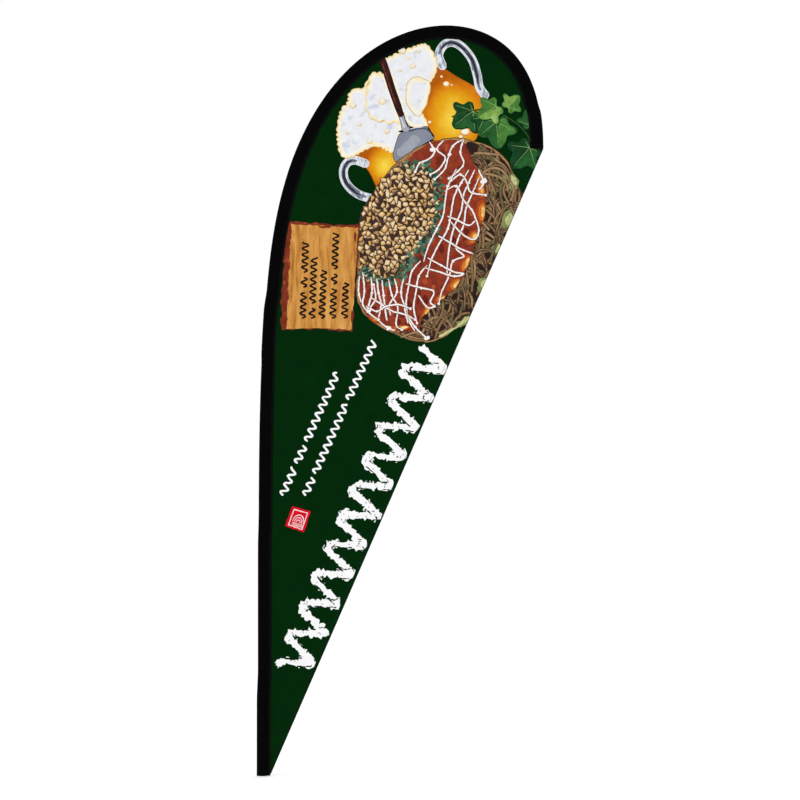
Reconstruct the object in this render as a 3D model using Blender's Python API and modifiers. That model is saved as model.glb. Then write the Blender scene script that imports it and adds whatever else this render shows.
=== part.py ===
"""A teardrop flag: a sail sewn to a sleeve that is stretched over a bent, three-section pole.

Metres, +Z up. The pole's foot stands on the origin and its straight butt runs up +Z. The sail lies in the
XZ plane, towards +X, and its printed face looks along -Y. The butt stays on the base that holds the flag.
A collar turns round the butt, and the rest of the flag turns with it and lifts off against an elastic loop.
"""

import math

import bmesh
import bpy
import numpy as np
from mathutils import Matrix, Vector

# The pole's line: a straight butt, then a bend that grows towards the top and eases at the tip.
BUTT_LENGTH = 0.480
STRAIGHT_PAST_JOINT = 0.020
BENT_LENGTH = 1.9126
TIP_TURN = math.pi
BEND_SHAPE = (  # share of the bent length, curvature there against the others
    (0.000, 0.00),
    (0.314, 0.21),
    (0.575, 1.66),
    (0.732, 3.05),
    (0.863, 5.37),
    (1.000, 1.14),
)

# Clearances.
FIT_GAP = 0.0004  # between round pieces that slide or turn in each other
SEAT_GAP = 0.0003  # between faces that rest on each other
CLOTH_GAP = 0.0004  # between cloth and what it lies on

# Foot bush, which the base's spigot goes into.
BUSH_WALL = 0.0009
BUSH_LENGTH = 0.040
BUSH_FLANGE = 0.002

# Pole tubes.
BUTT_RADIUS = 0.008
BUTT_WALL = 0.0015
MIDDLE_LENGTH = 0.600
MIDDLE_RADIUS = 0.00625
MIDDLE_WALL = 0.002
ROD_TAPER = 0.0008  # how much smaller the rod's radius is at its tip
ROD_INSERT = 0.060

# Spigot between butt and middle tube, and its rivet.
SPIGOT_SHOULDER = 0.003
SPIGOT_LOWER = 0.070
SPIGOT_UPPER = 0.055
RIVET_RADIUS = 0.0015
RIVET_HEAD_RADIUS = 0.0026
RIVET_HEAD = 0.0008
RIVET_HEIGHT = 0.028  # above the butt tube's rim

# Ferrule on the middle tube's upper end.
FERRULE_LENGTH = 0.036
FERRULE_WALL = 0.0009
FERRULE_LIP = 0.0015

# Tip cap and the pocket that it sits in.
CAP_LENGTH = 0.030
CAP_WALL = 0.0010
CAP_END = 0.003
POCKET_LENGTH = 0.048
POCKET_WALL = 0.0008

# Tension collar, which turns between two stop rings on the butt, and its hook.
COLLAR_BOTTOM = 0.045
COLLAR_HEIGHT = 0.015
COLLAR_WALL = 0.0010
STOP_HEIGHT = 0.004
STOP_WALL = 0.0009
HOOK_RISE = 0.006  # the stud's lower face above the collar's lower rim
HOOK_THICKNESS = 0.004
HOOK_HALF_WIDTH = 0.0007
HOOK_LIP = 0.0008
HOOK_LIP_DROP = 0.0035

# Elastic loop from the hook to a webbing tab in the sleeve's seam.
ELASTIC_RADIUS = 0.0011
ELASTIC_LENGTH = 0.080
TAB_HALF_THICKNESS = 0.0006
TAB_WALL = 0.0007  # webbing left beside the eyelet
TAB_ABOVE = 0.008
TAB_REACH = 0.0009  # the tab stops this short of the sleeve's seam

# Sleeve.
SLEEVE_CLOTH = 0.0008
SLEEVE_EASE = 0.0034  # what the flat sleeve's width has beyond its mouth and its seam
SEAM_ALLOWANCE = 0.005
SEAM_HALF_THICKNESS = 0.0012
SEAM_SLIT = 0.0004  # half the slit that is left between the two layers at the seam
MOUTH_HEM_HEIGHT = 0.015
MOUTH_HEM_CLOTH = 0.0006

# Sail and the hem of its free edge.
SAIL_HALF_THICKNESS = 0.0005
HEM_WIDTH = 0.010
HEM_HALF_THICKNESS = 0.0008

# Stitching.
THREAD_RADIUS = 0.00035
SEAM_ROWS = (0.0015, 0.0040)  # rows of stitches, from the seam's edge
HEM_ROW = 0.0020  # from the hem's inner edge
MOUTH_ROW = 0.010  # above the sleeve's mouth
TIP_ROW = 0.008  # below the sleeve's closed end

# Fineness.
LINE_STEPS = 4000
STATION_STEP = 0.060
STATION_TURN = math.radians(4)
TURNED_SIDES = 32
FOLD_POINTS = 17  # round the sleeve's fold

POLE_LENGTH = BUTT_LENGTH + STRAIGHT_PAST_JOINT + BENT_LENGTH
SPIGOT_TOP = BUTT_LENGTH + SEAT_GAP + SPIGOT_SHOULDER
MIDDLE_BOTTOM = SPIGOT_TOP + SEAT_GAP
MIDDLE_TOP = BUTT_LENGTH + MIDDLE_LENGTH
BUSH_RADIUS = BUTT_RADIUS - BUTT_WALL - FIT_GAP
BUSH_BORE_RADIUS = BUSH_RADIUS - BUSH_WALL
ROD_BASE_RADIUS = MIDDLE_RADIUS - MIDDLE_WALL - FIT_GAP
ROD_TIP_RADIUS = ROD_BASE_RADIUS - ROD_TAPER
FERRULE_RADIUS = MIDDLE_RADIUS + FIT_GAP + FERRULE_WALL
COLLAR_TOP = COLLAR_BOTTOM + COLLAR_HEIGHT
COLLAR_RADIUS = BUTT_RADIUS + FIT_GAP + COLLAR_WALL
HOOK_BOTTOM = COLLAR_BOTTOM + HOOK_RISE
ELASTIC_X = COLLAR_RADIUS + CLOTH_GAP + ELASTIC_RADIUS
ELASTIC_SPACING = HOOK_HALF_WIDTH + SEAT_GAP + ELASTIC_RADIUS  # a strand's middle from the flag's plane
HOOK_REACH = ELASTIC_X + ELASTIC_RADIUS + CLOTH_GAP + HOOK_LIP
EYELET_HEIGHT = HOOK_BOTTOM + ELASTIC_LENGTH + ELASTIC_SPACING
EYELET_RADIUS = ELASTIC_RADIUS + CLOTH_GAP
POCKET_TOP = POLE_LENGTH - SLEEVE_CLOTH - CLOTH_GAP
CAP_TOP = POCKET_TOP - POCKET_WALL - CLOTH_GAP
ROD_TOP = CAP_TOP - CAP_END - SEAT_GAP
CAP_RADIUS = ROD_TIP_RADIUS + FIT_GAP + CAP_WALL
POCKET_RADIUS = CAP_RADIUS + CLOTH_GAP + POCKET_WALL
MOUTH_RADIUS = COLLAR_RADIUS + 3 * CLOTH_GAP + MOUTH_HEM_CLOTH  # the sleeve's fold, past the turned-up hem
SLEEVE_WIDTH = 2 * (MOUTH_RADIUS + SLEEVE_CLOTH) + SLEEVE_EASE + SEAM_ALLOWANCE  # from the fold to the seam's edge


def running_sum(values, steps):
    """The integral of values, by the trapezium rule."""
    return np.concatenate([[0.0], np.cumsum((values[1:] + values[:-1]) / 2 * steps)])


def pole_line():
    """Along the pole's middle line: the distance from the foot, the turn, the curvature, x and z."""
    share, weight = zip(*BEND_SHAPE)
    along = np.linspace(0, POLE_LENGTH, LINE_STEPS)
    step = along[1]
    curvature = np.interp((along - (POLE_LENGTH - BENT_LENGTH)) / BENT_LENGTH, share, weight)
    curvature *= TIP_TURN / running_sum(curvature, step)[-1]
    turn = running_sum(curvature, step)
    return along, turn, curvature, running_sum(np.sin(turn), step), running_sum(np.cos(turn), step)


ALONG, TURN, CURVATURE, LINE_X, LINE_Z = pole_line()


def frame_at(s):
    """The pole's middle point at distance s, its direction there and the way out from the bend."""
    turn = np.interp(s, ALONG, TURN)
    middle = Vector((np.interp(s, ALONG, LINE_X), 0, np.interp(s, ALONG, LINE_Z)))
    direction = Vector((math.sin(turn), 0, math.cos(turn)))
    outward = Vector((-math.cos(turn), 0, math.sin(turn)))
    return middle, direction, outward


def station_list():
    """Places along the pole that are close together where it bends."""
    density = np.hypot(1 / STATION_STEP, CURVATURE / STATION_TURN)
    count = running_sum(density, ALONG[1])
    return np.interp(np.linspace(0, count[-1], math.ceil(count[-1])), count, ALONG)


STATIONS = station_list()


def stations_between(start, end):
    """The two ends, and the shared stations between them, so that nested pieces bend alike."""
    apart = 0.002
    inside = [s for s in STATIONS if start + apart < s < end - apart]
    return [start, *inside, end]


def sleeve_radius(s):
    """Inner radius of the sleeve's fold, which lies on whatever part of the pole is inside it."""
    ease = 0.03
    ferrule = FERRULE_RADIUS + CLOTH_GAP
    rod_start = MIDDLE_TOP + 3 * ease
    pocket_start = POCKET_TOP - POCKET_LENGTH
    knots = (
        (0.0, MOUTH_RADIUS),
        (EYELET_HEIGHT + TAB_ABOVE + ease, MOUTH_RADIUS),
        (EYELET_HEIGHT + TAB_ABOVE + 4 * ease, BUTT_RADIUS + CLOTH_GAP),
        (BUTT_LENGTH + 2 * ease, BUTT_RADIUS + CLOTH_GAP),
        (BUTT_LENGTH + 5 * ease, MIDDLE_RADIUS + CLOTH_GAP),
        (MIDDLE_TOP - FERRULE_LENGTH - 2 * ease, MIDDLE_RADIUS + CLOTH_GAP),
        (MIDDLE_TOP - FERRULE_LENGTH - ease, ferrule),
        (MIDDLE_TOP + ease, ferrule),
        (rod_start, ROD_BASE_RADIUS + CLOTH_GAP),
        (pocket_start - 2 * ease, ROD_TIP_RADIUS + CLOTH_GAP),
        (pocket_start - ease, POCKET_RADIUS + CLOTH_GAP),
        (POLE_LENGTH, POCKET_RADIUS + CLOTH_GAP),
    )
    places, radii = zip(*knots)
    return float(np.interp(s, places, radii))


def fold_edge(s):
    """Distance from the pole's middle line out to the sleeve's fold."""
    return sleeve_radius(s) + SLEEVE_CLOTH


def seam_edge(s):
    """Distance from the pole's middle line in to the sleeve's seam edge."""
    return SLEEVE_WIDTH - fold_edge(s)


def place(s, out, across=0.0):
    """The point that lies out from the pole's line at s, and across the flag's plane towards its back."""
    middle, _, outward = frame_at(s)
    return middle + outward * out + Vector((0, across, 0))


def sleeve_ring(s, radius, corner_in, half, nose):
    """One closed section of the sleeve: a round fold, two straight flanks and a blunt inner end.

    The flanks run from the fold to corners at corner_in, half from the flag's plane, and the end lies
    nose further in.
    """
    reach = math.hypot(corner_in, half)
    touch = math.pi - math.atan2(half, corner_in) - math.acos(radius / reach)
    angles = np.linspace(-touch, touch, FOLD_POINTS)
    ring = [place(s, radius * math.cos(a), radius * math.sin(a)) for a in angles]
    ring += [place(s, -corner_in, half), place(s, -corner_in - nose, half)]
    ring += [place(s, -corner_in - nose, -half), place(s, -corner_in, -half)]
    return ring


def outer_ring(s, proud=0.0):
    """The sleeve's outer section, or one that stands proud of it."""
    corner = seam_edge(s) - SEAM_ALLOWANCE
    return sleeve_ring(s, fold_edge(s) + proud, corner, SEAM_HALF_THICKNESS + proud, SEAM_ALLOWANCE + proud)


def inner_ring(s, inset=0.0):
    """The section of the sleeve's hollow, or one that lies inset in it."""
    corner = seam_edge(s) - SEAM_ALLOWANCE
    radius = sleeve_radius(s) - inset
    lean = radius / corner  # an inset flank meets the flag's plane sooner by inset / lean
    return sleeve_ring(s, radius, corner - 1.5 * inset / lean, SEAM_SLIT, SEAM_SLIT)


def new_material(name, colour, roughness, metallic=0.0):
    material = bpy.data.materials.new(name)
    material.use_nodes = True
    shader = material.node_tree.nodes["Principled BSDF"]
    shader.inputs["Base Color"].default_value = (*colour, 1)
    shader.inputs["Roughness"].default_value = roughness
    shader.inputs["Metallic"].default_value = metallic
    material.diffuse_color = (*colour, 1)
    return material


def clear_scene():
    for old in list(bpy.data.objects):
        bpy.data.objects.remove(old)


def new_collection(name):
    collection = bpy.data.collections.new(name)
    bpy.context.scene.collection.children.link(collection)
    return collection


clear_scene()
FLAG = new_collection("teardrop_flag")
HELPERS = new_collection("helpers")

ALUMINIUM = new_material("aluminium", (0.62, 0.63, 0.65), 0.35, 1.0)
STEEL = new_material("steel", (0.45, 0.46, 0.48), 0.30, 1.0)
FIBREGLASS = new_material("fibreglass", (0.030, 0.032, 0.035), 0.35)
NYLON = new_material("nylon", (0.020, 0.020, 0.022), 0.50)
RUBBER = new_material("rubber", (0.015, 0.015, 0.016), 0.80)
ELASTIC = new_material("elastic", (0.012, 0.012, 0.013), 0.85)
SLEEVE_FABRIC = new_material("sleeve_fabric", (0.002, 0.002, 0.002), 0.90)
SAIL_FABRIC = new_material("sail_fabric", (0.0008, 0.0202, 0.0024), 0.85)
BLACK_THREAD = new_material("black_thread", (0.004, 0.004, 0.004), 0.70)
GREEN_THREAD = new_material("green_thread", (0.002, 0.016, 0.004), 0.70)


def link(name, data, material, collection=FLAG):
    """An object of this name in its collection, with its material."""
    made = bpy.data.objects.new(name, data)
    data.materials.append(material)
    collection.objects.link(made)
    return made


def as_helper(made):
    """Turns a piece into a cutter, or into a shape that another one is joined to."""
    made.hide_render = True
    made.display_type = "WIRE"
    for collection in list(made.users_collection):
        collection.objects.unlink(made)
    HELPERS.objects.link(made)
    return made


def combine(target, other, operation):
    modifier = target.modifiers.new(operation.lower(), "BOOLEAN")
    modifier.operation = operation
    modifier.object = as_helper(other)


def shade(mesh):
    mesh.shade_smooth()
    mesh.set_sharp_from_angle(angle=math.radians(35))


def stand_at(s):
    """The matrix that stands a piece on the pole's line at s, its +Z along the pole and its -X outward."""
    middle, direction, outward = frame_at(s)
    turned = Matrix((-outward, Vector((0, 1, 0)), direction)).transposed()
    return Matrix.Translation(middle) @ turned.to_4x4()


def turned(name, profile, material, s=0.0, hollow=False):
    """A turned piece on the pole's line at s. Its (radius, height) profile runs down the outer side."""
    mesh = bpy.data.meshes.new(name)
    points = [(radius, 0, height) for radius, height in profile]
    edges = [(i, i + 1) for i in range(len(points) - 1)]
    if hollow:
        edges.append((len(points) - 1, 0))
    mesh.from_pydata(points, edges, [])
    made = link(name, mesh, material)
    made.matrix_world = stand_at(s)
    screw = made.modifiers.new("turn", "SCREW")
    screw.steps = TURNED_SIDES
    screw.render_steps = TURNED_SIDES
    screw.use_merge_vertices = True
    screw.merge_threshold = 0.00001
    screw.use_smooth_shade = True
    return made


def ring_profile(inner, outer, bottom, top):
    return [(outer, top), (outer, bottom), (inner, bottom), (inner, top)]


def line_curve(name, points, radius, material, sides, closed=False, radii=None):
    """A round piece along a line of points. Radii are the shares of radius at the points."""
    curve = bpy.data.curves.new(name, "CURVE")
    curve.dimensions = "3D"
    curve.bevel_depth = radius
    curve.bevel_resolution = (sides - 4) // 2
    curve.use_fill_caps = not closed
    spline = curve.splines.new("POLY")
    spline.points.add(len(points) - 1)
    for i, point in enumerate(points):
        spline.points[i].co = (*point, 1)
        spline.points[i].radius = radii[i] if radii else 1.0
    spline.use_cyclic_u = closed
    return link(name, curve, material)


def swept_mesh(name, start, end, radius, material, sides=16):
    """A solid round bar along the pole's line, as a mesh that a Boolean can take."""
    bar = line_curve("bar", [frame_at(s)[0] for s in stations_between(start, end)], radius, material, sides)
    graph = bpy.context.evaluated_depsgraph_get()
    mesh = bpy.data.meshes.new_from_object(bar.evaluated_get(graph))
    shaped = bmesh.new()
    shaped.from_mesh(mesh)
    bmesh.ops.remove_doubles(shaped, verts=shaped.verts, dist=0.000001)
    shaped.to_mesh(mesh)
    shaped.free()
    mesh.name = name
    made = bpy.data.objects.new(name, mesh)
    made.matrix_world = bar.matrix_world
    FLAG.objects.link(made)
    bpy.data.objects.remove(bar)
    shade(mesh)
    return made


def box(name, low, high, material):
    """A block between two corners."""
    low, high = Vector(low), Vector(high)
    shaped = bmesh.new()
    bmesh.ops.create_cube(shaped, size=1)
    bmesh.ops.scale(shaped, vec=high - low, verts=shaped.verts)
    bmesh.ops.translate(shaped, vec=(low + high) / 2, verts=shaped.verts)
    mesh = bpy.data.meshes.new(name)
    shaped.to_mesh(mesh)
    shaped.free()
    return link(name, mesh, material)


def bar_across(name, radius, half_length, x, z, material):
    """A round bar through the flag's plane, for cutting a hole."""
    shaped = bmesh.new()
    turn = Matrix.Translation((x, 0, z)) @ Matrix.Rotation(math.pi / 2, 4, "X")
    bmesh.ops.create_cone(
        shaped, cap_ends=True, segments=16, radius1=radius, radius2=radius, depth=2 * half_length, matrix=turn
    )
    mesh = bpy.data.meshes.new(name)
    shaped.to_mesh(mesh)
    shaped.free()
    return link(name, mesh, material)


def loft(name, rings, material, closed=False):
    """A skin over sections that all have as many points, with flat ends, or joined round to the first."""
    shaped = bmesh.new()
    rows = [[shaped.verts.new(point) for point in ring] for ring in rings]
    count = len(rows[0])
    pairs = list(zip(rows, rows[1:]))
    if closed:
        pairs.append((rows[-1], rows[0]))
    else:
        shaped.faces.new(rows[0])
        shaped.faces.new(rows[-1])
    for first, second in pairs:
        for i in range(count):
            j = (i + 1) % count
            shaped.faces.new((first[i], first[j], second[j], second[i]))
    bmesh.ops.recalc_face_normals(shaped, faces=shaped.faces)
    mesh = bpy.data.meshes.new(name)
    shaped.to_mesh(mesh)
    shaped.free()
    shade(mesh)
    return link(name, mesh, material)


def flat_piece(name, outline, half_thickness, material):
    """A flat piece in the flag's plane, from its outline as (x, z)."""
    curve = bpy.data.curves.new(name, "CURVE")
    curve.dimensions = "2D"
    curve.fill_mode = "BOTH"
    curve.extrude = half_thickness
    spline = curve.splines.new("POLY")
    spline.points.add(len(outline) - 1)
    for i, (x, z) in enumerate(outline):
        spline.points[i].co = (x, z, 0, 1)
    spline.use_cyclic_u = True
    made = link(name, curve, material)
    made.rotation_euler = (math.pi / 2, 0, 0)
    return made


def make_foot_bush():
    """The flanged bush in the butt's lower end, which turns or rests on the base's spigot."""
    profile = [
        (BUSH_RADIUS, BUSH_LENGTH),
        (BUSH_RADIUS, BUSH_FLANGE),
        (BUTT_RADIUS, BUSH_FLANGE),
        (BUTT_RADIUS, 0),
        (BUSH_BORE_RADIUS, 0),
        (BUSH_BORE_RADIUS, BUSH_LENGTH),
    ]
    turned("foot_bush", profile, NYLON, hollow=True)


def make_butt_tube():
    profile = ring_profile(BUTT_RADIUS - BUTT_WALL, BUTT_RADIUS, BUSH_FLANGE + SEAT_GAP, BUTT_LENGTH)
    turned("butt_tube", profile, ALUMINIUM, hollow=True)


def make_stop_rings():
    """The two rings, fixed to the butt, that the tension collar turns between."""
    inner = BUTT_RADIUS + SEAT_GAP
    for name, bottom in (
        ("lower_stop_ring", COLLAR_BOTTOM - SEAT_GAP - STOP_HEIGHT),
        ("upper_stop_ring", COLLAR_TOP + SEAT_GAP),
    ):
        profile = ring_profile(inner, inner + STOP_WALL, bottom, bottom + STOP_HEIGHT)
        turned(name, profile, ALUMINIUM, hollow=True)


def make_tension_collar():
    """A ring with a hook on its seam side: a stud whose end turns down, for the elastic to catch under."""
    wall_middle = COLLAR_RADIUS - COLLAR_WALL / 2
    profile = ring_profile(BUTT_RADIUS + FIT_GAP, COLLAR_RADIUS, COLLAR_BOTTOM, COLLAR_TOP)
    collar = turned("tension_collar", profile, NYLON, hollow=True)
    stud_top = HOOK_BOTTOM + HOOK_THICKNESS
    stud_low = (wall_middle, -HOOK_HALF_WIDTH, HOOK_BOTTOM)
    lip_low = (HOOK_REACH - HOOK_LIP, -HOOK_HALF_WIDTH, HOOK_BOTTOM - HOOK_LIP_DROP)
    hook_high = (HOOK_REACH, HOOK_HALF_WIDTH, stud_top)
    stud = box("hook_stud", stud_low, hook_high, NYLON)
    combine(stud, box("hook_lip", lip_low, hook_high, NYLON), "UNION")
    combine(collar, stud, "UNION")


def make_joint_spigot():
    """The spigot that stands in the butt with its shoulder on the rim, and holds the middle tube."""
    lower = BUTT_RADIUS - BUTT_WALL - FIT_GAP
    upper = MIDDLE_RADIUS - MIDDLE_WALL - FIT_GAP
    chamfer = 0.001
    shoulder_bottom = BUTT_LENGTH + SEAT_GAP
    profile = [
        (0, SPIGOT_TOP + SPIGOT_UPPER),
        (upper - chamfer, SPIGOT_TOP + SPIGOT_UPPER),
        (upper, SPIGOT_TOP + SPIGOT_UPPER - chamfer),
        (upper, SPIGOT_TOP),
        (BUTT_RADIUS, SPIGOT_TOP),
        (BUTT_RADIUS, shoulder_bottom),
        (lower, shoulder_bottom),
        (lower, shoulder_bottom - SPIGOT_LOWER + chamfer),
        (lower - chamfer, shoulder_bottom - SPIGOT_LOWER),
        (0, shoulder_bottom - SPIGOT_LOWER),
    ]
    spigot = turned("joint_spigot", profile, STEEL)
    combine(spigot, rivet_hole("spigot_rivet_hole"), "DIFFERENCE")


def rivet_hole(name):
    return bar_across(name, RIVET_RADIUS + SEAT_GAP, 2 * MIDDLE_RADIUS, 0, BUTT_LENGTH + RIVET_HEIGHT, STEEL)


def make_middle_tube():
    """The lower fibreglass section, a tube that starts on the spigot's shoulder."""
    tube = swept_mesh("middle_tube", MIDDLE_BOTTOM, MIDDLE_TOP, MIDDLE_RADIUS, FIBREGLASS)
    end = 0.01  # the bore's cutter runs past both ends
    bore_radius = MIDDLE_RADIUS - MIDDLE_WALL
    bore = swept_mesh("middle_bore", MIDDLE_BOTTOM - end, MIDDLE_TOP + end, bore_radius, FIBREGLASS)
    combine(tube, bore, "DIFFERENCE")
    combine(tube, rivet_hole("tube_rivet_hole"), "DIFFERENCE")


def make_joint_rivet():
    """The rivet through the middle tube and the spigot, a head on each side."""
    head_bottom = MIDDLE_RADIUS + SEAT_GAP
    head_top = head_bottom + RIVET_HEAD
    profile = [
        (0, head_top),
        (RIVET_HEAD_RADIUS / 2, head_top),
        (RIVET_HEAD_RADIUS, head_bottom),
        (RIVET_RADIUS, head_bottom),
        (RIVET_RADIUS, -head_bottom),
        (RIVET_HEAD_RADIUS, -head_bottom),
        (RIVET_HEAD_RADIUS / 2, -head_top),
        (0, -head_top),
    ]
    rivet = turned("joint_rivet", profile, ALUMINIUM)
    across = Matrix.Rotation(math.pi / 2, 4, "X")
    rivet.matrix_world = Matrix.Translation((0, 0, BUTT_LENGTH + RIVET_HEIGHT)) @ across


def make_middle_ferrule():
    """The steel cap round the middle tube's upper end, which keeps the rod's pull from splitting it."""
    inner = MIDDLE_RADIUS + FIT_GAP
    lip_inner = ROD_BASE_RADIUS + FIT_GAP
    half = FERRULE_LENGTH / 2
    lip_bottom = half + SEAT_GAP
    lip_top = lip_bottom + FERRULE_LIP
    profile = [
        (FERRULE_RADIUS, lip_top),
        (FERRULE_RADIUS, -half),
        (inner, -half),
        (inner, lip_bottom),
        (lip_inner, lip_bottom),
        (lip_inner, lip_top),
    ]
    turned("middle_ferrule", profile, STEEL, s=MIDDLE_TOP - half, hollow=True)


def make_tip_rod():
    """The upper section, a solid fibreglass rod that tapers and takes nearly all of the bend."""
    start = MIDDLE_TOP - ROD_INSERT
    places = stations_between(start, ROD_TOP)
    shares = np.interp(places, (MIDDLE_TOP, ROD_TOP), (1, ROD_TIP_RADIUS / ROD_BASE_RADIUS))
    line = [frame_at(s)[0] for s in places]
    line_curve("tip_rod", line, ROD_BASE_RADIUS, FIBREGLASS, 12, radii=[float(share) for share in shares])


def make_cup(name, top, length, radius, wall, end, material):
    """A sleeve-like cup along the pole's line, closed at its top."""
    cup = swept_mesh(name, top - length, top, radius, material)
    past = 0.01
    hollow = swept_mesh(name + "_hollow", top - length - past, top - end, radius - wall, material)
    combine(cup, hollow, "DIFFERENCE")


def make_pole_sleeve():
    """The cloth tube over the pole: open at the foot, sewn shut at the tip, pinched flat along the seam."""
    inner_places = [0.0, *stations_between(0, POLE_LENGTH - SLEEVE_CLOTH)[1:]]
    rings = [inner_ring(s) for s in reversed(inner_places)]
    rings += [outer_ring(s) for s in stations_between(0, POLE_LENGTH)]
    loft("pole_sleeve", rings, SLEEVE_FABRIC)


def make_mouth_hem():
    """The sleeve's cloth turned up inside its mouth."""
    places = (0.0, MOUTH_HEM_HEIGHT)
    rings = [inner_ring(s, CLOTH_GAP) for s in places]
    rings += [inner_ring(s, CLOTH_GAP + MOUTH_HEM_CLOTH) for s in reversed(places)]
    loft("mouth_hem", rings, SLEEVE_FABRIC, closed=True)


def make_anchor_tab():
    """The webbing tab that is caught in the sleeve's seam, with the eyelet that the elastic runs through."""
    inner = ELASTIC_X - EYELET_RADIUS - TAB_WALL
    outer = seam_edge(EYELET_HEIGHT) - SEAM_ALLOWANCE - TAB_REACH
    bottom = EYELET_HEIGHT - EYELET_RADIUS - TAB_WALL
    low = (inner, -TAB_HALF_THICKNESS, bottom)
    high = (outer, TAB_HALF_THICKNESS, EYELET_HEIGHT + TAB_ABOVE)
    tab = box("anchor_tab", low, high, SLEEVE_FABRIC)
    eyelet = bar_across("tab_eyelet", EYELET_RADIUS, 4 * TAB_HALF_THICKNESS, ELASTIC_X, EYELET_HEIGHT, NYLON)
    combine(tab, eyelet, "DIFFERENCE")


def make_elastic_loop():
    """The stretched loop: two strands, a bight under the hook and one through the tab's eyelet."""
    upper = HOOK_BOTTOM + ELASTIC_LENGTH
    half_turn = np.linspace(0, math.pi, 9)
    crown = [(ELASTIC_SPACING * math.cos(a), upper + ELASTIC_SPACING * math.sin(a)) for a in half_turn]
    bight = [(-ELASTIC_SPACING * math.cos(a), HOOK_BOTTOM - ELASTIC_SPACING * math.sin(a)) for a in half_turn]
    points = [(ELASTIC_X, y, z) for y, z in crown + bight]
    line_curve("elastic_loop", points, ELASTIC_RADIUS, ELASTIC, 8, closed=True)


def seam_point(s, row=0.0):
    """(x, z) of the sleeve's seam edge, or of a row that lies in from it on the sleeve's side."""
    point = place(s, row - seam_edge(s))
    return point.x, point.z


def leech_line(inset):
    """Two points (x, z) on the sail's free edge, from the tip down, or on a line inset from it."""
    top = place(POLE_LENGTH, fold_edge(POLE_LENGTH))
    bottom_x, bottom_z = seam_point(0.0)
    along = Vector((bottom_x - top.x, bottom_z - top.z)).normalized()
    inward = Vector((along.y, -along.x)) * inset
    return (top.x + inward.x, top.z + inward.y), (bottom_x + inward.x, bottom_z + inward.y)


def crossing(first, second, x=None, z=None):
    """Where the line through two (x, z) points reaches this x or this z."""
    share = (x - first[0]) / (second[0] - first[0]) if x is not None else (z - first[1]) / (second[1] - first[1])
    return first[0] + share * (second[0] - first[0]), first[1] + share * (second[1] - first[1])


def make_sail():
    """The sail, from its seam to the hem of its free edge, and the hem itself."""
    seam_x = seam_point(0.0)[0] + CLOTH_GAP
    end_z = frame_at(POLE_LENGTH)[0].z - CLOTH_GAP
    hem_outer = leech_line(0.0)
    hem_inner = leech_line(HEM_WIDTH)
    sail_edge = leech_line(HEM_WIDTH + CLOTH_GAP)
    sail_bottom = crossing(*sail_edge, x=seam_x)
    seam = [seam_point(s, -CLOTH_GAP) for s in stations_between(0, POLE_LENGTH)]
    seam = [(x, z) for x, z in seam if x > seam_x + CLOTH_GAP or z > sail_bottom[1] + CLOTH_GAP]
    below_end = crossing(seam[-2], seam[-1], z=end_z)
    outline = [sail_bottom, *seam[:-1], below_end, crossing(*sail_edge, z=end_z)]
    flat_piece("sail_panel", outline, SAIL_HALF_THICKNESS, SAIL_FABRIC)
    hem = [
        crossing(*hem_outer, x=seam_x),
        crossing(*hem_inner, x=seam_x),
        crossing(*hem_inner, z=end_z),
        crossing(*hem_outer, z=end_z),
    ]
    flat_piece("leech_hem", hem, HEM_HALF_THICKNESS, SAIL_FABRIC)


def make_stitching():
    """A thread for each row of stitches, one on each face of what it holds."""
    seam_height = SEAM_HALF_THICKNESS + SEAT_GAP + THREAD_RADIUS
    hem_height = HEM_HALF_THICKNESS + SEAT_GAP + THREAD_RADIUS
    row_start, row_end = leech_line(HEM_WIDTH - HEM_ROW)
    seam_x = seam_point(0.0)[0] + HEM_ROW
    end_z = frame_at(POLE_LENGTH)[0].z - HEM_ROW
    hem_row = (crossing(row_start, row_end, x=seam_x), crossing(row_start, row_end, z=end_z))
    for side, sign in (("front", -1), ("back", 1)):
        for number, row in enumerate(SEAM_ROWS, 1):
            places = stations_between(HEM_ROW, POLE_LENGTH - HEM_ROW)
            line = [place(s, row - seam_edge(s), sign * seam_height) for s in places]
            line_curve(f"seam_thread_{side}_{number}", line, THREAD_RADIUS, BLACK_THREAD, 6)
        line = [(x, sign * hem_height, z) for x, z in hem_row]
        line_curve(f"hem_thread_{side}", line, THREAD_RADIUS, GREEN_THREAD, 6)
    proud = SEAT_GAP + THREAD_RADIUS
    for name, s in (("mouth_thread", MOUTH_ROW), ("tip_thread", POLE_LENGTH - TIP_ROW)):
        ring = outer_ring(s, proud)
        fold = ring[:FOLD_POINTS]
        line = [fold[0].lerp(ring[-1], 0.9), *fold, fold[-1].lerp(ring[FOLD_POINTS], 0.9)]
        line_curve(name, line, THREAD_RADIUS, BLACK_THREAD, 6)


make_foot_bush()
make_butt_tube()
make_stop_rings()
make_tension_collar()
make_joint_spigot()
make_middle_tube()
make_joint_rivet()
make_middle_ferrule()
make_tip_rod()
make_cup("tip_cap", CAP_TOP, CAP_LENGTH, CAP_RADIUS, CAP_WALL, CAP_END, RUBBER)
make_cup("tip_pocket", POCKET_TOP, POCKET_LENGTH, POCKET_RADIUS, POCKET_WALL, POCKET_WALL, SLEEVE_FABRIC)
make_pole_sleeve()
make_mouth_hem()
make_anchor_tab()
make_elastic_loop()
make_sail()
make_stitching()
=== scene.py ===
"""The looks of the teardrop flag: its printed sail, its sleeve, its stitching and the pole's finishes.

The sail is one sheet of cloth. Its print is drawn as flat shapes in the flag's plane, in millimetres from the
pole's foot, and the shapes divide the sheet, so that each ink is part of the cloth on both faces.
"""

import math
import random

import bpy
import numpy as np
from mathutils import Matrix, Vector, geometry, noise


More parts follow.
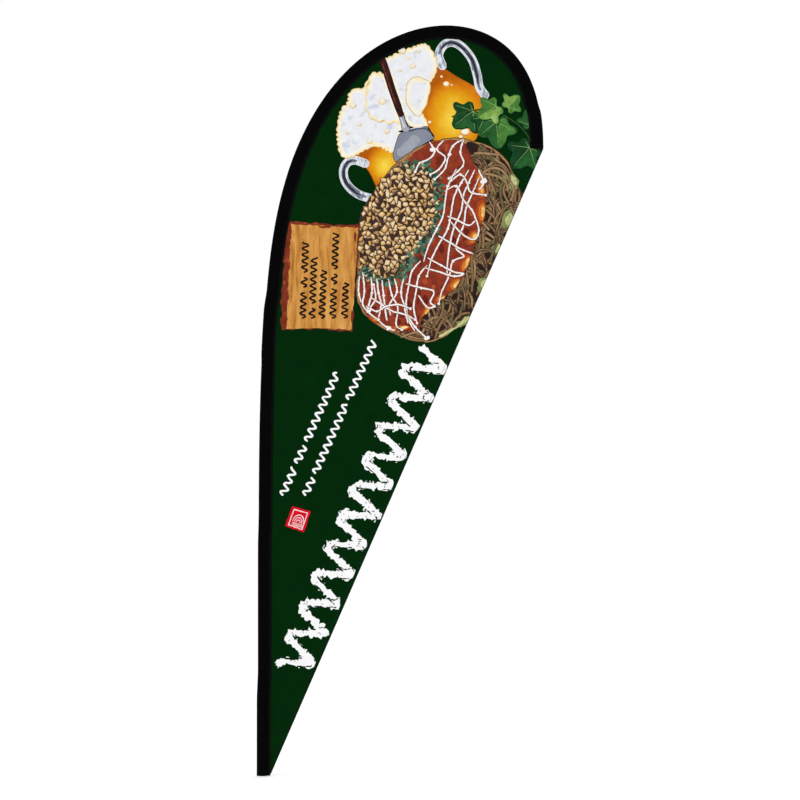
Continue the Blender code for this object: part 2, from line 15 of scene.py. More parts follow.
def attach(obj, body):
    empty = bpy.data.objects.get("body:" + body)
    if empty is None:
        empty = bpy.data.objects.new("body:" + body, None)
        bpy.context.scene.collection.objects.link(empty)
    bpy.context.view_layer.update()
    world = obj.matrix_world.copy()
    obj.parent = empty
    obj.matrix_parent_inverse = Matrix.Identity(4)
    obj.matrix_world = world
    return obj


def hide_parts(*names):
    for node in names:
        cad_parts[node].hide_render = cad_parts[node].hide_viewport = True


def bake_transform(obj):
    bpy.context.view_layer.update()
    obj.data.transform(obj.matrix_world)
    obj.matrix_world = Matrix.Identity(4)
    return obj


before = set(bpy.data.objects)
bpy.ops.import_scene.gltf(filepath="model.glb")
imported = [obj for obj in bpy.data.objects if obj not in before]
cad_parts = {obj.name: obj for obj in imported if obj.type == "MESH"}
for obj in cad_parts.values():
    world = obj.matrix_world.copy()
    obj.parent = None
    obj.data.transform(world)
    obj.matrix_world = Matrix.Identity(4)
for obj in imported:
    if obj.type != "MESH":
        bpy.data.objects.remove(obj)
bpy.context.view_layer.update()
MM = 0.001

# The pole's line, as the part has it.
STRAIGHT_LENGTH = 0.500
BENT_LENGTH = 1.9126
POLE_LENGTH = STRAIGHT_LENGTH + BENT_LENGTH
TIP_TURN = math.pi
BEND_SHAPE = (
    (0.000, 0.00),
    (0.314, 0.21),
    (0.575, 1.66),
    (0.732, 3.05),
    (0.863, 5.37),
    (1.000, 1.14),
)

# The sleeve: its flat width, and its fold's outer radius along the pole, over whatever is inside.
SLEEVE_WIDTH = 0.0324
SLEEVE_CLOTH = 0.0006
SEAM_ALLOWANCE = 0.005
SEAM_HALF_THICKNESS = 0.0011
CREASE_LENGTH = 0.017  # from crest to crest, along the pole
CREASE_DEPTH = 0.00008
CREASE_GROWTH = 0.00010  # added for each radian a metre that the pole bends, up to the fourth
SLACK_DEPTH = 0.0005
CLOSED_LENGTH = 0.0012  # over which the sleeve closes at the tip
FOLD_RADIUS = (
    (0.000, 0.0120),
    (0.171, 0.0120),
    (0.261, 0.0092),
    (0.540, 0.0092),
    (0.630, 0.0074),
    (0.984, 0.0074),
    (1.014, 0.0087),
    (1.110, 0.0087),
    (1.170, 0.0050),
    (2.303, 0.0042),
    (2.333, 0.0068),
    (2.413, 0.0068),
)

# The sail.
SAIL_CLOTH = 0.00035
SAIL_TUCK = 0.004  # how far the sail's edge lies in the seam
HEM_WIDTH = 0.010
GRID_STEP = 12.0  # mm, between the sheet's own points
SAIL_WEAVE = 0.0011  # between the sail's threads
SLEEVE_WEAVE = 0.0009
INK_GLOSS = 0.04
CLOTH_WHITE = 0.83  # the share of light that unprinted white cloth gives back

# How the sail hangs between its seam and its free edge: depths, and lengths from crest to crest.
BELLY_DEPTH = 0.0060
FOLD_DEPTH = 0.0012
HANG_DEPTH = 0.0014
PUCKER_DEPTH = 0.00035
PUCKER_LENGTH = 0.021
FLUTTER_DEPTH = 0.0016
FLUTTER_LENGTH = 0.36
FLUTTER_REACH = 0.045  # from the free edge in, where it has died down to a third
PUCKER_REACH = 0.016  # the same, from the seam

# Stitches.
STITCH_LENGTH = 0.0034
STITCH_GAP = 0.0009
THREAD_RADIUS = 0.00030
OVERLOCK_RADIUS = 0.00035
SEAM_ROWS = (0.0015, 0.0040)  # how far each row of the seam's stitches is from the seam's edge
HEM_ROW = 0.002  # how far the hem's row is from the hem's edge

# Camera: far off with a long lens, because the picture is flat artwork. The floor lies just under the foot.
VIEW_WIDTH = 1.9162
VIEW_CENTRE = (0.3313, 0.8994)
FLOOR_Z = -0.001
STAGE_MIDDLE = 0.33
CAMERA_LENS = 200.0
SENSOR_WIDTH = 36.0


# ---------------------------------------------------------------- the flag's shape


def running_sum(values, steps):
    """The integral of values, by the trapezium rule."""
    return np.concatenate([[0.0], np.cumsum((values[1:] + values[:-1]) / 2 * steps)])


def pole_line():
    """Along the pole's middle line: the distance from the foot, the turn, x and z."""
    share, weight = zip(*BEND_SHAPE)
    along = np.linspace(0, POLE_LENGTH, 4000)
    step = along[1]
    curvature = np.interp((along - STRAIGHT_LENGTH) / BENT_LENGTH, share, weight)
    curvature *= TIP_TURN / running_sum(curvature, step)[-1]
    turn = running_sum(curvature, step)
    return along, turn, running_sum(np.sin(turn), step), running_sum(np.cos(turn), step)


ALONG, TURN, LINE_X, LINE_Z = pole_line()


def beside_pole(s, out):
    """(x, z) of points that lie out from the pole's line at distances s from the foot."""
    turn = np.interp(s, ALONG, TURN)
    x = np.interp(s, ALONG, LINE_X) - out * np.cos(turn)
    z = np.interp(s, ALONG, LINE_Z) + out * np.sin(turn)
    return x, z


def fold_radius(s):
    """Outer radius of the sleeve's fold, eased from one size to the next."""
    places, radii = (np.array(v) for v in zip(*FOLD_RADIUS))
    i = np.clip(np.searchsorted(places, s) - 1, 0, len(places) - 2)
    share = np.clip((s - places[i]) / (places[i + 1] - places[i]), 0, 1)
    share = share * share * (3 - 2 * share)
    return radii[i] + (radii[i + 1] - radii[i]) * share


def seam_edge(s):
    """Distance from the pole's line in to the sleeve's seam edge."""
    return SLEEVE_WIDTH - fold_radius(s)


SEAM_S = np.linspace(0, POLE_LENGTH, 700)
SEAM = np.stack(beside_pole(SEAM_S, -seam_edge(SEAM_S)), 1)
LEECH_TOP = np.array(beside_pole(POLE_LENGTH, fold_radius(POLE_LENGTH))).ravel()
LEECH_BOTTOM = SEAM[0]
LEECH_LENGTH = float(np.linalg.norm(LEECH_TOP - LEECH_BOTTOM))
LEECH_WAY = (LEECH_TOP - LEECH_BOTTOM) / LEECH_LENGTH
LEECH_INWARD = np.array([-LEECH_WAY[1], LEECH_WAY[0]])


def near_seam(points):
    """For each (x, z): how far it is from the seam, and how far along the pole its nearest seam point is."""
    gaps = np.empty(len(points))
    along = np.empty(len(points))
    for start in range(0, len(points), 2000):
        part = points[start : start + 2000]
        away = np.linalg.norm(part[:, None, :] - SEAM[None, :, :], axis=2)
        nearest = away.argmin(1)
        gaps[start : start + 2000] = away[np.arange(len(part)), nearest]
        along[start : start + 2000] = SEAM_S[nearest]
    return gaps, along


def wander(points, scale, seed):
    """Smooth noise from -1 to 1 at (x, z) points, over about scale metres."""
    return np.array([noise.noise(Vector((x / scale, z / scale, seed))) for x, z in points])


def wander_along(places, scale, row, seed):
    """Smooth noise from -1 to 1 at places along a line."""
    return np.array([noise.noise(Vector((a / scale, row, seed))) for a in places])


def drape(points):
    """How far the stretched sail stands behind the flag's plane at each (x, z) point."""
    points = np.asarray(points, float).reshape(-1, 2)
    from_seam, along = near_seam(points)
    from_leech = np.maximum((points - LEECH_BOTTOM) @ LEECH_INWARD, 0)
    up_leech = (points - LEECH_BOTTOM) @ LEECH_WAY
    width = np.maximum(from_seam + from_leech, 1e-4)
    share = from_seam / width
    room = np.clip(width / 0.25, 0, 1)
    bow = np.sin(math.pi * share) * room
    slow = wander(points, 0.30, 3.1)
    flutter_wave = np.sin(2 * math.pi * (up_leech / FLUTTER_LENGTH + 0.3 * slow)) * room
    pucker_wave = np.sin(2 * math.pi * (along / PUCKER_LENGTH + 0.5 * slow))
    belly = BELLY_DEPTH * np.sin(math.pi * np.clip(share * 0.8, 0, 1)) * room
    folds = FOLD_DEPTH * np.sin(2 * math.pi * (2.6 * share + 0.35 * slow)) * bow
    hang = HANG_DEPTH * wander(points, 0.11, 7.7) * bow
    flutter = FLUTTER_DEPTH * np.exp(-from_leech / FLUTTER_REACH) * flutter_wave
    pucker = PUCKER_DEPTH * np.exp(-from_seam / PUCKER_REACH) * pucker_wave
    hold = np.clip(from_seam / 0.012, 0, 1)
    return (belly + folds + hang + flutter) * hold + pucker * np.clip(from_seam / 0.004, 0.15, 1)


# ---------------------------------------------------------------- materials


WHITE, BLACK = (1, 1, 1, 1), (0, 0, 0, 1)


def linear(red, green, blue):
    """Linear colour from screen values of 0 to 255."""
    out = []
    for value in (red, green, blue):
        value /= 255
        out.append(value / 12.92 if value <= 0.04045 else ((value + 0.055) / 1.055) ** 2.4)
    return (*out, 1.0)


def shade_of(colour, factor):
    return (*(c * factor for c in colour[:3]), 1.0)


def printed(red, green, blue):
    """Linear colour of an ink on the sail's cloth."""
    return shade_of(linear(red, green, blue), CLOTH_WHITE)


class Paint:
    """A material and the nodes that make it."""

    def __init__(self, name, roughness=0.8, specular=0.1, metallic=0.0):
        self.material = bpy.data.materials.new(name)
        self.material.use_nodes = True
        self.tree = self.material.node_tree
        self.shader = self.tree.nodes["Principled BSDF"]
        self.shader.inputs["Roughness"].default_value = roughness
        self.shader.inputs["Specular IOR Level"].default_value = specular
        self.shader.inputs["Metallic"].default_value = metallic
        self.place = self.node("ShaderNodeTexCoord", {}, "Object")

    def feed(self, socket, value):
        """Links a socket to a node's output, or gives it a plain value."""
        if isinstance(value, bpy.types.NodeSocket):
            self.tree.links.new(value, socket)
        else:
            socket.default_value = value

    def node(self, kind, inputs, output=0, **settings):
        """One output of a new node, whose inputs are given by name or number."""
        made = self.tree.nodes.new(kind)
        for key, value in settings.items():
            setattr(made, key, value)
        for socket, value in inputs.items():
            self.feed(made.inputs[socket], value)
        return made.outputs[output]

    def mapped(self, location=(0, 0, 0), rotation=(0, 0, 0), scale=(1, 1, 1)):
        inputs = {"Vector": self.place, "Location": location, "Rotation": rotation, "Scale": scale}
        return self.node("ShaderNodeMapping", inputs)

    def noise(self, scale, detail=3.0, distortion=0.0, vector=None):
        inputs = {"Vector": vector or self.place, "Scale": scale, "Detail": detail, "Distortion": distortion}
        return self.node("ShaderNodeTexNoise", inputs, "Fac")

    def wave(self, scale, vector=None):
        return self.node("ShaderNodeTexWave", {"Vector": vector or self.place, "Scale": scale}, "Fac")

    def ramp(self, value, *stops):
        """A colour for each (place, colour), blended between."""
        made = self.node("ShaderNodeValToRGB", {"Fac": value}, "Color")
        elements = made.node.color_ramp.elements
        while len(elements) < len(stops):
            elements.new(0.5)
        for element, (at, colour) in zip(elements, stops):
            element.position = at
            element.color = colour
        return made

    def mix(self, share, first, second, blend="MIX"):
        inputs = {0: share, 6: first, 7: second}
        return self.node("ShaderNodeMix", inputs, 2, data_type="RGBA", blend_type=blend)

    def math(self, operation, first, second=0.0):
        return self.node("ShaderNodeMath", {0: first, 1: second}, operation=operation)

    def colour(self, value):
        self.feed(self.shader.inputs["Base Color"], value)

    def bump(self, height, distance, strength=1.0):
        inputs = {"Height": height, "Distance": distance, "Strength": strength}
        self.feed(self.shader.inputs["Normal"], self.node("ShaderNodeBump", inputs, "Normal"))

    def woven(self, colour, pitch, strength=0.3):
        """A colour on cloth: threads that cross at right angles in the flag's plane, pitch metres apart, with
        painted shade between them and painted light on their crowns.
        """
        scale = 2 * math.pi / (20 * pitch)
        warp = self.wave(scale)
        weft = self.wave(scale, self.mapped(rotation=(0, math.pi / 2, 0)))
        threads = self.math("MAXIMUM", warp, weft)
        # Painted shade between the threads and painted light on their crowns, multiplied into the colour.
        light = self.ramp(threads, (0.1, shade_of(WHITE, 0.66)), (0.9, shade_of(WHITE, 1.12)))
        self.colour(self.mix(1.0, colour, light, "MULTIPLY"))
        self.bump(threads, pitch * 0.25, strength)


# The plain inks: colour, unevenness and grain. Some have a second colour in blotches, with its grain and the
# level of the noise where it starts.
INKS = {
    "green": ((0, 39, 6), 0.10, 30),
    "outline": ((24, 22, 26), 0.12, 60),
    "dark_line": ((44, 30, 24), 0.12, 60),
    "amber_line": ((150, 78, 16), 0.12, 60),
    "bubble_rim": ((222, 150, 60), 0.12, 60),
    "foam": ((234, 236, 240), 0.05, 60, (206, 211, 224), 34, 0.56),
    "foam_cream": ((246, 240, 220), 0.06, 60, (252, 232, 170), 30, 0.58),
    "foam_edge": ((244, 226, 178), 0.12, 50, (224, 188, 116), 70, 0.60),
    "foam_line": ((200, 168, 108), 0.12, 60),
    "glass_rim": ((224, 228, 234), 0.06, 60, (182, 188, 200), 50, 0.54),
    "glass_grey": ((112, 118, 132), 0.20, 80, (150, 156, 170), 60, 0.58),
    "glass_dark": ((46, 50, 62), 0.25, 90, (84, 90, 104), 70, 0.60),
    "shadow_grey": ((66, 70, 84), 0.25, 90, (140, 146, 160), 60, 0.60),
    "steel_grey": ((132, 138, 152), 0.12, 24, (164, 170, 182), 18, 0.55),
    "steel_dark": ((86, 90, 104), 0.15, 60),
    "steel_pale": ((160, 165, 176), 0.10, 30, (186, 191, 200), 26, 0.58),
    "steel_light": ((206, 210, 218), 0.10, 60),
    "handle_wood": ((62, 28, 26), 0.30, 110),
    "handle_light": ((112, 60, 52), 0.20, 110),
    "pancake_edge": ((168, 126, 82), 0.20, 90, (120, 80, 52), 60, 0.56),
    "sauce": ((142, 56, 36), 0.25, 60, (110, 40, 30), 46, 0.55),
    "sauce_dark": ((104, 36, 26), 0.25, 80),
    "sauce_bright": ((166, 76, 46), 0.20, 80),
    "egg_brown": ((166, 70, 30), 0.20, 60),
    "egg_orange": ((206, 112, 42), 0.20, 60),
    "egg_yellow": ((238, 184, 96), 0.15, 60, (248, 222, 160), 50, 0.55),
    "noodle_gap": ((46, 32, 28), 0.20, 90),
    "noodle_tan": ((134, 106, 72), 0.20, 120),
    "noodle_brown": ((98, 74, 54), 0.20, 120),
    "noodle_light": ((158, 128, 92), 0.25, 120),
    "noodle_olive": ((108, 98, 68), 0.25, 120),
    "cabbage": ((132, 140, 84), 0.15, 60),
    "cabbage_light": ((196, 196, 138), 0.15, 60),
    "chip_gap": ((66, 48, 42), 0.20, 90),
    "chip_line": ((46, 34, 32), 0.20, 90),
    "chip_tan": ((214, 176, 118), 0.14, 110),
    "chip_pale": ((232, 202, 156), 0.12, 110),
    "chip_gold": ((216, 170, 96), 0.14, 110),
    "chip_brown": ((178, 138, 96), 0.20, 110),
    "chip_light": ((240, 218, 176), 0.10, 110),
    "chip_shade": ((140, 108, 76), 0.25, 110),
    "flake_teal": ((84, 126, 106), 0.30, 120),
    "flake_green": ((60, 96, 72), 0.30, 120),
    "flake_dark": ((36, 66, 54), 0.30, 120),
    "cream": ((246, 240, 236), 0.05, 80),
    "cream_line": ((98, 44, 38), 0.15, 90),
    "stem": ((54, 84, 40), 0.20, 90),
    "leaf_bright": ((122, 160, 76), 0.20, 60, (158, 188, 110), 46, 0.56),
    "leaf_mid": ((72, 124, 54), 0.25, 60, (98, 148, 72), 46, 0.56),
    "leaf_dark": ((38, 88, 42), 0.30, 60, (60, 112, 60), 46, 0.58),
    "leaf_deep": ((22, 64, 34), 0.30, 60, (36, 88, 48), 46, 0.58),
    "leaf_shadow": ((6, 30, 14), 0.20, 60),
    "leaf_vein": ((140, 174, 104), 0.20, 90),
    "board_bark": ((122, 48, 30), 0.25, 60, (156, 76, 44), 50, 0.56),
    "ink_black": ((26, 20, 18), 0.12, 60),
    "white": ((250, 250, 250), 0.03, 60),
    "seal_red": ((214, 14, 34), 0.12, 90),
    "seal_white": ((244, 226, 228), 0.05, 90),
}


def plain_ink(name):
    """Print on the sail's cloth: one colour, uneven as ink is, with a second colour in blotches for some."""
    rgb, spread, grain, *blotch = INKS[name]
    paint = Paint("print_" + name, roughness=0.88, specular=INK_GLOSS)
    base = printed(*rgb)
    low, high = shade_of(base, 1 - spread), shade_of(base, 1 + spread)
    colour = paint.ramp(paint.noise(grain, 4.0), (0.3, low), (0.7, high))
    if blotch:
        second, scale, start = blotch
        share = paint.ramp(paint.noise(scale, 5.0, 0.6), (start, BLACK), (start + 0.12, WHITE))
        colour = paint.mix(share, colour, printed(*second))
    paint.woven(colour, SAIL_WEAVE)
    return paint.material


def beer_ink(name, centre, reach):
    """Beer in a glass: yellow in the middle, amber at the walls."""
    paint = Paint(name, roughness=0.85, specular=INK_GLOSS)
    scale = tuple(1 / r for r in reach)
    where = paint.mapped(location=(-centre[0] * scale[0], 0, -centre[1] * scale[2]), scale=scale)
    glow = paint.node("ShaderNodeTexGradient", {"Vector": where}, "Fac", gradient_type="SPHERICAL")
    uneven = paint.math("MULTIPLY", paint.math("SUBTRACT", paint.noise(28.0, 4.0), 0.5), 0.45)
    depth = paint.math("ADD", glow, uneven)
    amber, orange = (0.02, printed(176, 88, 12)), (0.22, printed(214, 124, 16))
    gold, yellow = (0.52, printed(230, 166, 24)), (0.92, printed(248, 212, 74))
    paint.woven(paint.ramp(depth, amber, orange, gold, yellow), SAIL_WEAVE)
    return paint.material


def glass_ink():
    """The grey streaks of a painted glass handle."""
    paint = Paint("print_glass", roughness=0.85, specular=INK_GLOSS)
    streaks = paint.noise(70.0, 3.0, 1.2, paint.mapped(rotation=(0, 0.5, 0), scale=(1, 1, 0.35)))
    pale, middle, dark = printed(226, 230, 236), printed(158, 165, 178), printed(84, 88, 102)
    paint.woven(paint.ramp(streaks, (0.32, dark), (0.46, middle), (0.56, pale)), SAIL_WEAVE)
    return paint.material


def wood_ink():
    """The painted board: tan with long grain and a few dark specks."""
    paint = Paint("print_board", roughness=0.85, specular=INK_GLOSS)
    grain = paint.noise(85.0, 6.0, 0.8, paint.mapped(scale=(1, 1, 0.16)))
    dark, middle, pale = printed(166, 104, 44), printed(205, 143, 68), printed(224, 170, 94)
    tone = paint.ramp(grain, (0.30, dark), (0.50, middle), (0.72, pale))
    specks = paint.ramp(paint.noise(420.0, 2.0), (0.66, BLACK), (0.72, WHITE))
    paint.woven(paint.mix(specks, tone, printed(120, 72, 30)), SAIL_WEAVE)
    return paint.material


# The inks that are painted with more than one colour and its blotches.
PAINTED_INKS = {
    "beer_upper": lambda: beer_ink("print_beer_upper", (0.462, 1.575), (0.085, 1, 0.105)),
    "beer_lower": lambda: beer_ink("print_beer_lower", (0.296, 1.462), (0.050, 1, 0.058)),
    "glass": glass_ink,
    "board": wood_ink,
}


def ink(name):
    return PAINTED_INKS[name]() if name in PAINTED_INKS else plain_ink(name)


def cloth(name, rgb, pitch, roughness=0.9, specular=0.08):
    """Plain dyed cloth with its weave."""
    paint = Paint(name, roughness=roughness, specular=specular)
    base = linear(*rgb)
    shades = (0.3, shade_of(base, 0.85)), (0.7, shade_of(base, 1.15))
    paint.woven(paint.ramp(paint.noise(45.0, 4.0), *shades), pitch, 0.5)
    return paint.material


def thread(name, rgb):
    """Twisted sewing thread, with painted shade and painted light in bands along its twist."""
    paint = Paint(name, roughness=0.6, specular=0.2)
    base = linear(*rgb)
    twist = paint.wave(900.0, paint.mapped(rotation=(0, 0.8, 0)))
    # Painted shade in the twist's grooves and painted light on its plies.
    paint.colour(paint.mix(twist, shade_of(base, 0.7), shade_of(base, 1.3)))
    paint.bump(twist, 0.0001, 0.5)
    return paint.material


def brushed_metal(name, rgb, roughness, streak):
    """Drawn or turned metal: fine streaks along the piece or round it."""
    paint = Paint(name, roughness=roughness, specular=0.5, metallic=1.0)
    scale = (1, 1, 0.02) if streak == "along" else (0.05, 0.05, 1)
    lines = paint.noise(900.0, 3.0, 0.0, paint.mapped(scale=scale))
    base = linear(*rgb)
    paint.colour(paint.ramp(lines, (0.3, shade_of(base, 0.8)), (0.7, base)))
    rough = paint.math("ADD", roughness - 0.06, paint.math("MULTIPLY", lines, 0.14))
    paint.feed(paint.shader.inputs["Roughness"], rough)
    paint.bump(lines, 0.00004, 0.4)
    return paint.material


def wound_resin():
    """Black fibreglass: a gloss coat over fibres that run along the pole."""
    paint = Paint("fibreglass_finish", roughness=0.32, specular=0.4)
    fibres = paint.noise(700.0, 4.0, 0.3, paint.mapped(scale=(1, 1, 0.04)))
    paint.colour(paint.ramp(fibres, (0.35, linear(22, 23, 25)), (0.70, linear(52, 54, 58))))
    paint.bump(fibres, 0.00005, 0.5)
    paint.shader.inputs["Coat Weight"].default_value = 0.4
    paint.shader.inputs["Coat Roughness"].default_value = 0.15
    return paint.material


def moulded(name, rgb, roughness, grain=600.0):
    """Moulded plastic or rubber with a fine matt grain."""
    paint = Paint(name, roughness=roughness, specular=0.35)
    base = linear(*rgb)
    texture = paint.noise(grain, 5.0)
    paint.colour(paint.ramp(texture, (0.3, shade_of(base, 0.8)), (0.7, shade_of(base, 1.25))))
    paint.bump(texture, 0.00012, 0.5)
    return paint.material


def braid():
    """The elastic's braided cover: two sets of threads that cross on the slant, with painted shade between
    them and painted light on their crowns.
    """
    paint = Paint("elastic_braid", roughness=0.75, specular=0.2)
    one = paint.wave(160.0, paint.mapped(rotation=(0, 0.7, 0)))
    other = paint.wave(160.0, paint.mapped(rotation=(0, -0.7, 0)))
    both = paint.math("MAXIMUM", one, other)
    # Painted shade between the crossing threads and painted light on their crowns.
    paint.colour(paint.ramp(both, (0.3, linear(14, 14, 15)), (0.9, linear(44, 44, 46))))
    paint.bump(both, 0.0003, 0.8)
    return paint.material


# ---------------------------------------------------------------- drawing the print, in millimetres


def spline(points, closed=True, step=4.0):
    """A smooth line through the points, with a point about every step."""
    points = np.array(points, float)
    count = len(points)
    last = count if closed else count - 1
    out = []
    for i in range(last):
        if closed:
            a, b, c, d = (points[(i + k) % count] for k in (-1, 0, 1, 2))
        else:
            a, b, c, d = (points[min(max(i + k, 0), count - 1)] for k in (-1, 0, 1, 2))
        steps = max(2, round(float(np.linalg.norm(c - b)) / step))
        for t in np.arange(steps) / steps:
            bent = 2 * b + (c - a) * t + (2 * a - 5 * b + 4 * c - d) * t**2 + (3 * b - a - 3 * c + d) * t**3
            out.append(bent / 2)
    if not closed:
        out.append(points[-1])
    return np.array(out)


def unit(vectors):
    return vectors / np.maximum(np.linalg.norm(vectors, axis=1, keepdims=True), 1e-9)


def left_of(way):
    """The directions a quarter turn to the left of these."""
    return np.stack([-way[:, 1], way[:, 0]], 1)


def heading(angle):
    return np.array([math.cos(angle), math.sin(angle)])


def turned(points, angle):
    """Points turned about the origin."""
    ahead = heading(angle)
    return np.asarray(points, float) @ np.array([ahead, [-ahead[1], ahead[0]]])


def area_of(outline):
    x, z = outline[:, 0], outline[:, 1]
    return float(np.sum(x * np.roll(z, -1) - np.roll(x, -1) * z) / 2)


def counterclockwise(outline):
    return outline if area_of(outline) > 0 else outline[::-1]


def outward(outline):
    """Unit normals that point out of a closed outline."""
    return -left_of(unit(np.roll(outline, -1, 0) - np.roll(outline, 1, 0)))


def swollen(outline, amount):
    """An outline moved out by amount, or in where it is negative."""
    outline = counterclockwise(outline)
    return outline + outward(outline) * amount


def rough(outline, amount, grain, seed):
    """An outline with an uneven edge."""
    outline = counterclockwise(outline)
    return outline + outward(outline) * (wander(outline, grain, seed) * amount)[:, None]


def scalloped(points, lobe, depth, seed):
    """A closed outline of round lobes, as froth has."""
    outline = counterclockwise(spline(points, step=2.4))
    steps = np.linalg.norm(np.roll(outline, -1, 0) - outline, axis=1)
    along = np.concatenate([[0], np.cumsum(steps)[:-1]])
    phase = along / lobe + 1.5 * wander_along(along, 38, seed, 0.5)
    size = 0.8 + 0.9 * wander_along(along, 27, seed, 4.5)
    return outline + outward(outline) * (depth * size * (np.abs(np.sin(math.pi * phase)) - 0.5))[:, None]


def round_shape(x, z, half_width, half_height, angle=0.0, sides=14):
    turn = np.linspace(0, 2 * math.pi, sides, endpoint=False)
    u, v = half_width * np.cos(turn), half_height * np.sin(turn)
    across = x + u * math.cos(angle) - v * math.sin(angle)
    return np.stack([across, z + u * math.sin(angle) + v * math.cos(angle)], 1)


def band(path, widths):
    """The outline of a band along a path of points, as wide at each as widths says, with round ends."""
    path = np.array(path, float)
    widths = np.broadcast_to(np.asarray(widths, float), (len(path),)) / 2
    way = unit(np.gradient(path, axis=0))
    side = left_of(way)
    left = path + side * widths[:, None]
    right = (path - side * widths[:, None])[::-1]
    caps = []
    for end, ahead, across, half in (
        (path[-1], way[-1], side[-1], widths[-1]),
        (path[0], -way[0], -side[0], widths[0]),
    ):
        turn = np.linspace(0, math.pi, 5)[1:-1] if half > 1 else np.array([math.pi / 2])
        caps.append(end + half * (np.cos(turn)[:, None] * across + np.sin(turn)[:, None] * ahead))
    return np.concatenate([left, caps[0], right, caps[1]])


def stroke(points, width, step=4.0, ends=1.0):
    """A brush or pen stroke through the points. Its ends are this share of its width."""
    path = spline(points, closed=False, step=step)
    share = np.linspace(0, 1, len(path))
    taper = ends + (1 - ends) * np.clip(np.sin(math.pi * share) * 2.2, 0, 1)
    return band(path, width * taper)


def leech_point(up, inward):
    """(x, z) in millimetres of a point this far up the free edge and this far in from it."""
    return (LEECH_BOTTOM + LEECH_WAY * up * MM + LEECH_INWARD * inward * MM) / MM


class Print:
    """The shapes of the print, the lowest first, each with its ink."""

    def __init__(self):
        self.shapes = []

    def add(self, ink_name, outline):
        self.shapes.append((ink_name, np.asarray(outline, float)))

    def uneven(self, ink_name, outline, amount, grain, seed):
        self.add(ink_name, rough(outline, amount, grain, seed))

    def lined(self, ink_name, outline, line, line_ink="outline"):
        """A shape with a drawn line round it."""
        self.add(line_ink, swollen(outline, line))
        self.add(ink_name, outline)


def beside(points, offset):
    """A smooth line that runs beside the points' own, this far to its left."""
    path = spline(points, closed=False)
    return path + left_of(unit(np.gradient(path, axis=0))) * offset


def draw_mug_handles(page):
    """Glass handles: pale rims, a grey body and a dark core."""
    upper = [
        (433, 1700), (424, 1726), (437, 1750), (458, 1756), (482, 1743), (505, 1713), (516, 1678),
        (522, 1648), (535, 1630),
    ]
    lower = [
        (248, 1466), (223, 1474), (205, 1468), (196, 1450), (199, 1426), (214, 1405), (236, 1390),
        (264, 1382),
    ]
    for path, side in ((upper, -1), (lower, 1)):
        whole = spline(path, closed=False, step=4)
        count = len(whole)
        page.add("glass_rim", band(whole, 21))
        page.uneven("glass", band(whole, 17), 0.9, 6.0, side)
        core = beside(path, side * 0.6)[int(count * 0.14) : int(count * 0.93)]
        swell = np.sin(math.pi * np.linspace(0.04, 0.96, len(core)))
        page.uneven("glass_grey", band(core, 4 + 8.5 * swell), 1.2, 8.0, side + 3)
        page.uneven("glass_dark", band(core[3:-4], 1.5 + 5.5 * swell[3:-4]), 1.4, 7.0, side + 5)
        shine = beside(path, side * -6.2)[int(count * 0.2) : int(count * 0.8)]
        page.add("foam", band(shine, 0.6 + 1.8 * np.sin(math.pi * np.linspace(0.05, 0.95, len(shine)))))
        glint = beside(path, side * 6.0)[int(count * 0.35) : int(count * 0.62)]
        page.add("foam", band(glint, 1.6))


def draw_beer(page):
    """The beer of both mugs, with a few bubbles."""
    upper = [
        (418, 1696), (470, 1672), (529, 1634), (532, 1594), (520, 1550), (507, 1520), (450, 1512),
        (405, 1528), (377, 1580),
    ]
    lower = [
        (226, 1490), (262, 1508), (300, 1506), (322, 1490), (320, 1460), (300, 1430), (279, 1408),
        (258, 1446),
    ]
    page.lined("beer_upper", spline(upper + [(394, 1640)], step=6), 1.2, "amber_line")
    page.lined("beer_lower", spline(lower, step=6), 1.2, "amber_line")
    bubbles = (
        (431, 1674, 4), (443, 1656, 9), (456, 1654, 3), (403, 1565, 5), (393, 1571, 3),
        (489, 1541, 13), (478, 1530, 6),
    )
    for x, z, size in bubbles:
        page.add("bubble_rim", round_shape(x, z, size, size * 0.8))
        page.add("foam_cream", round_shape(x - size * 0.15, z + size * 0.15, size * 0.72, size * 0.55))


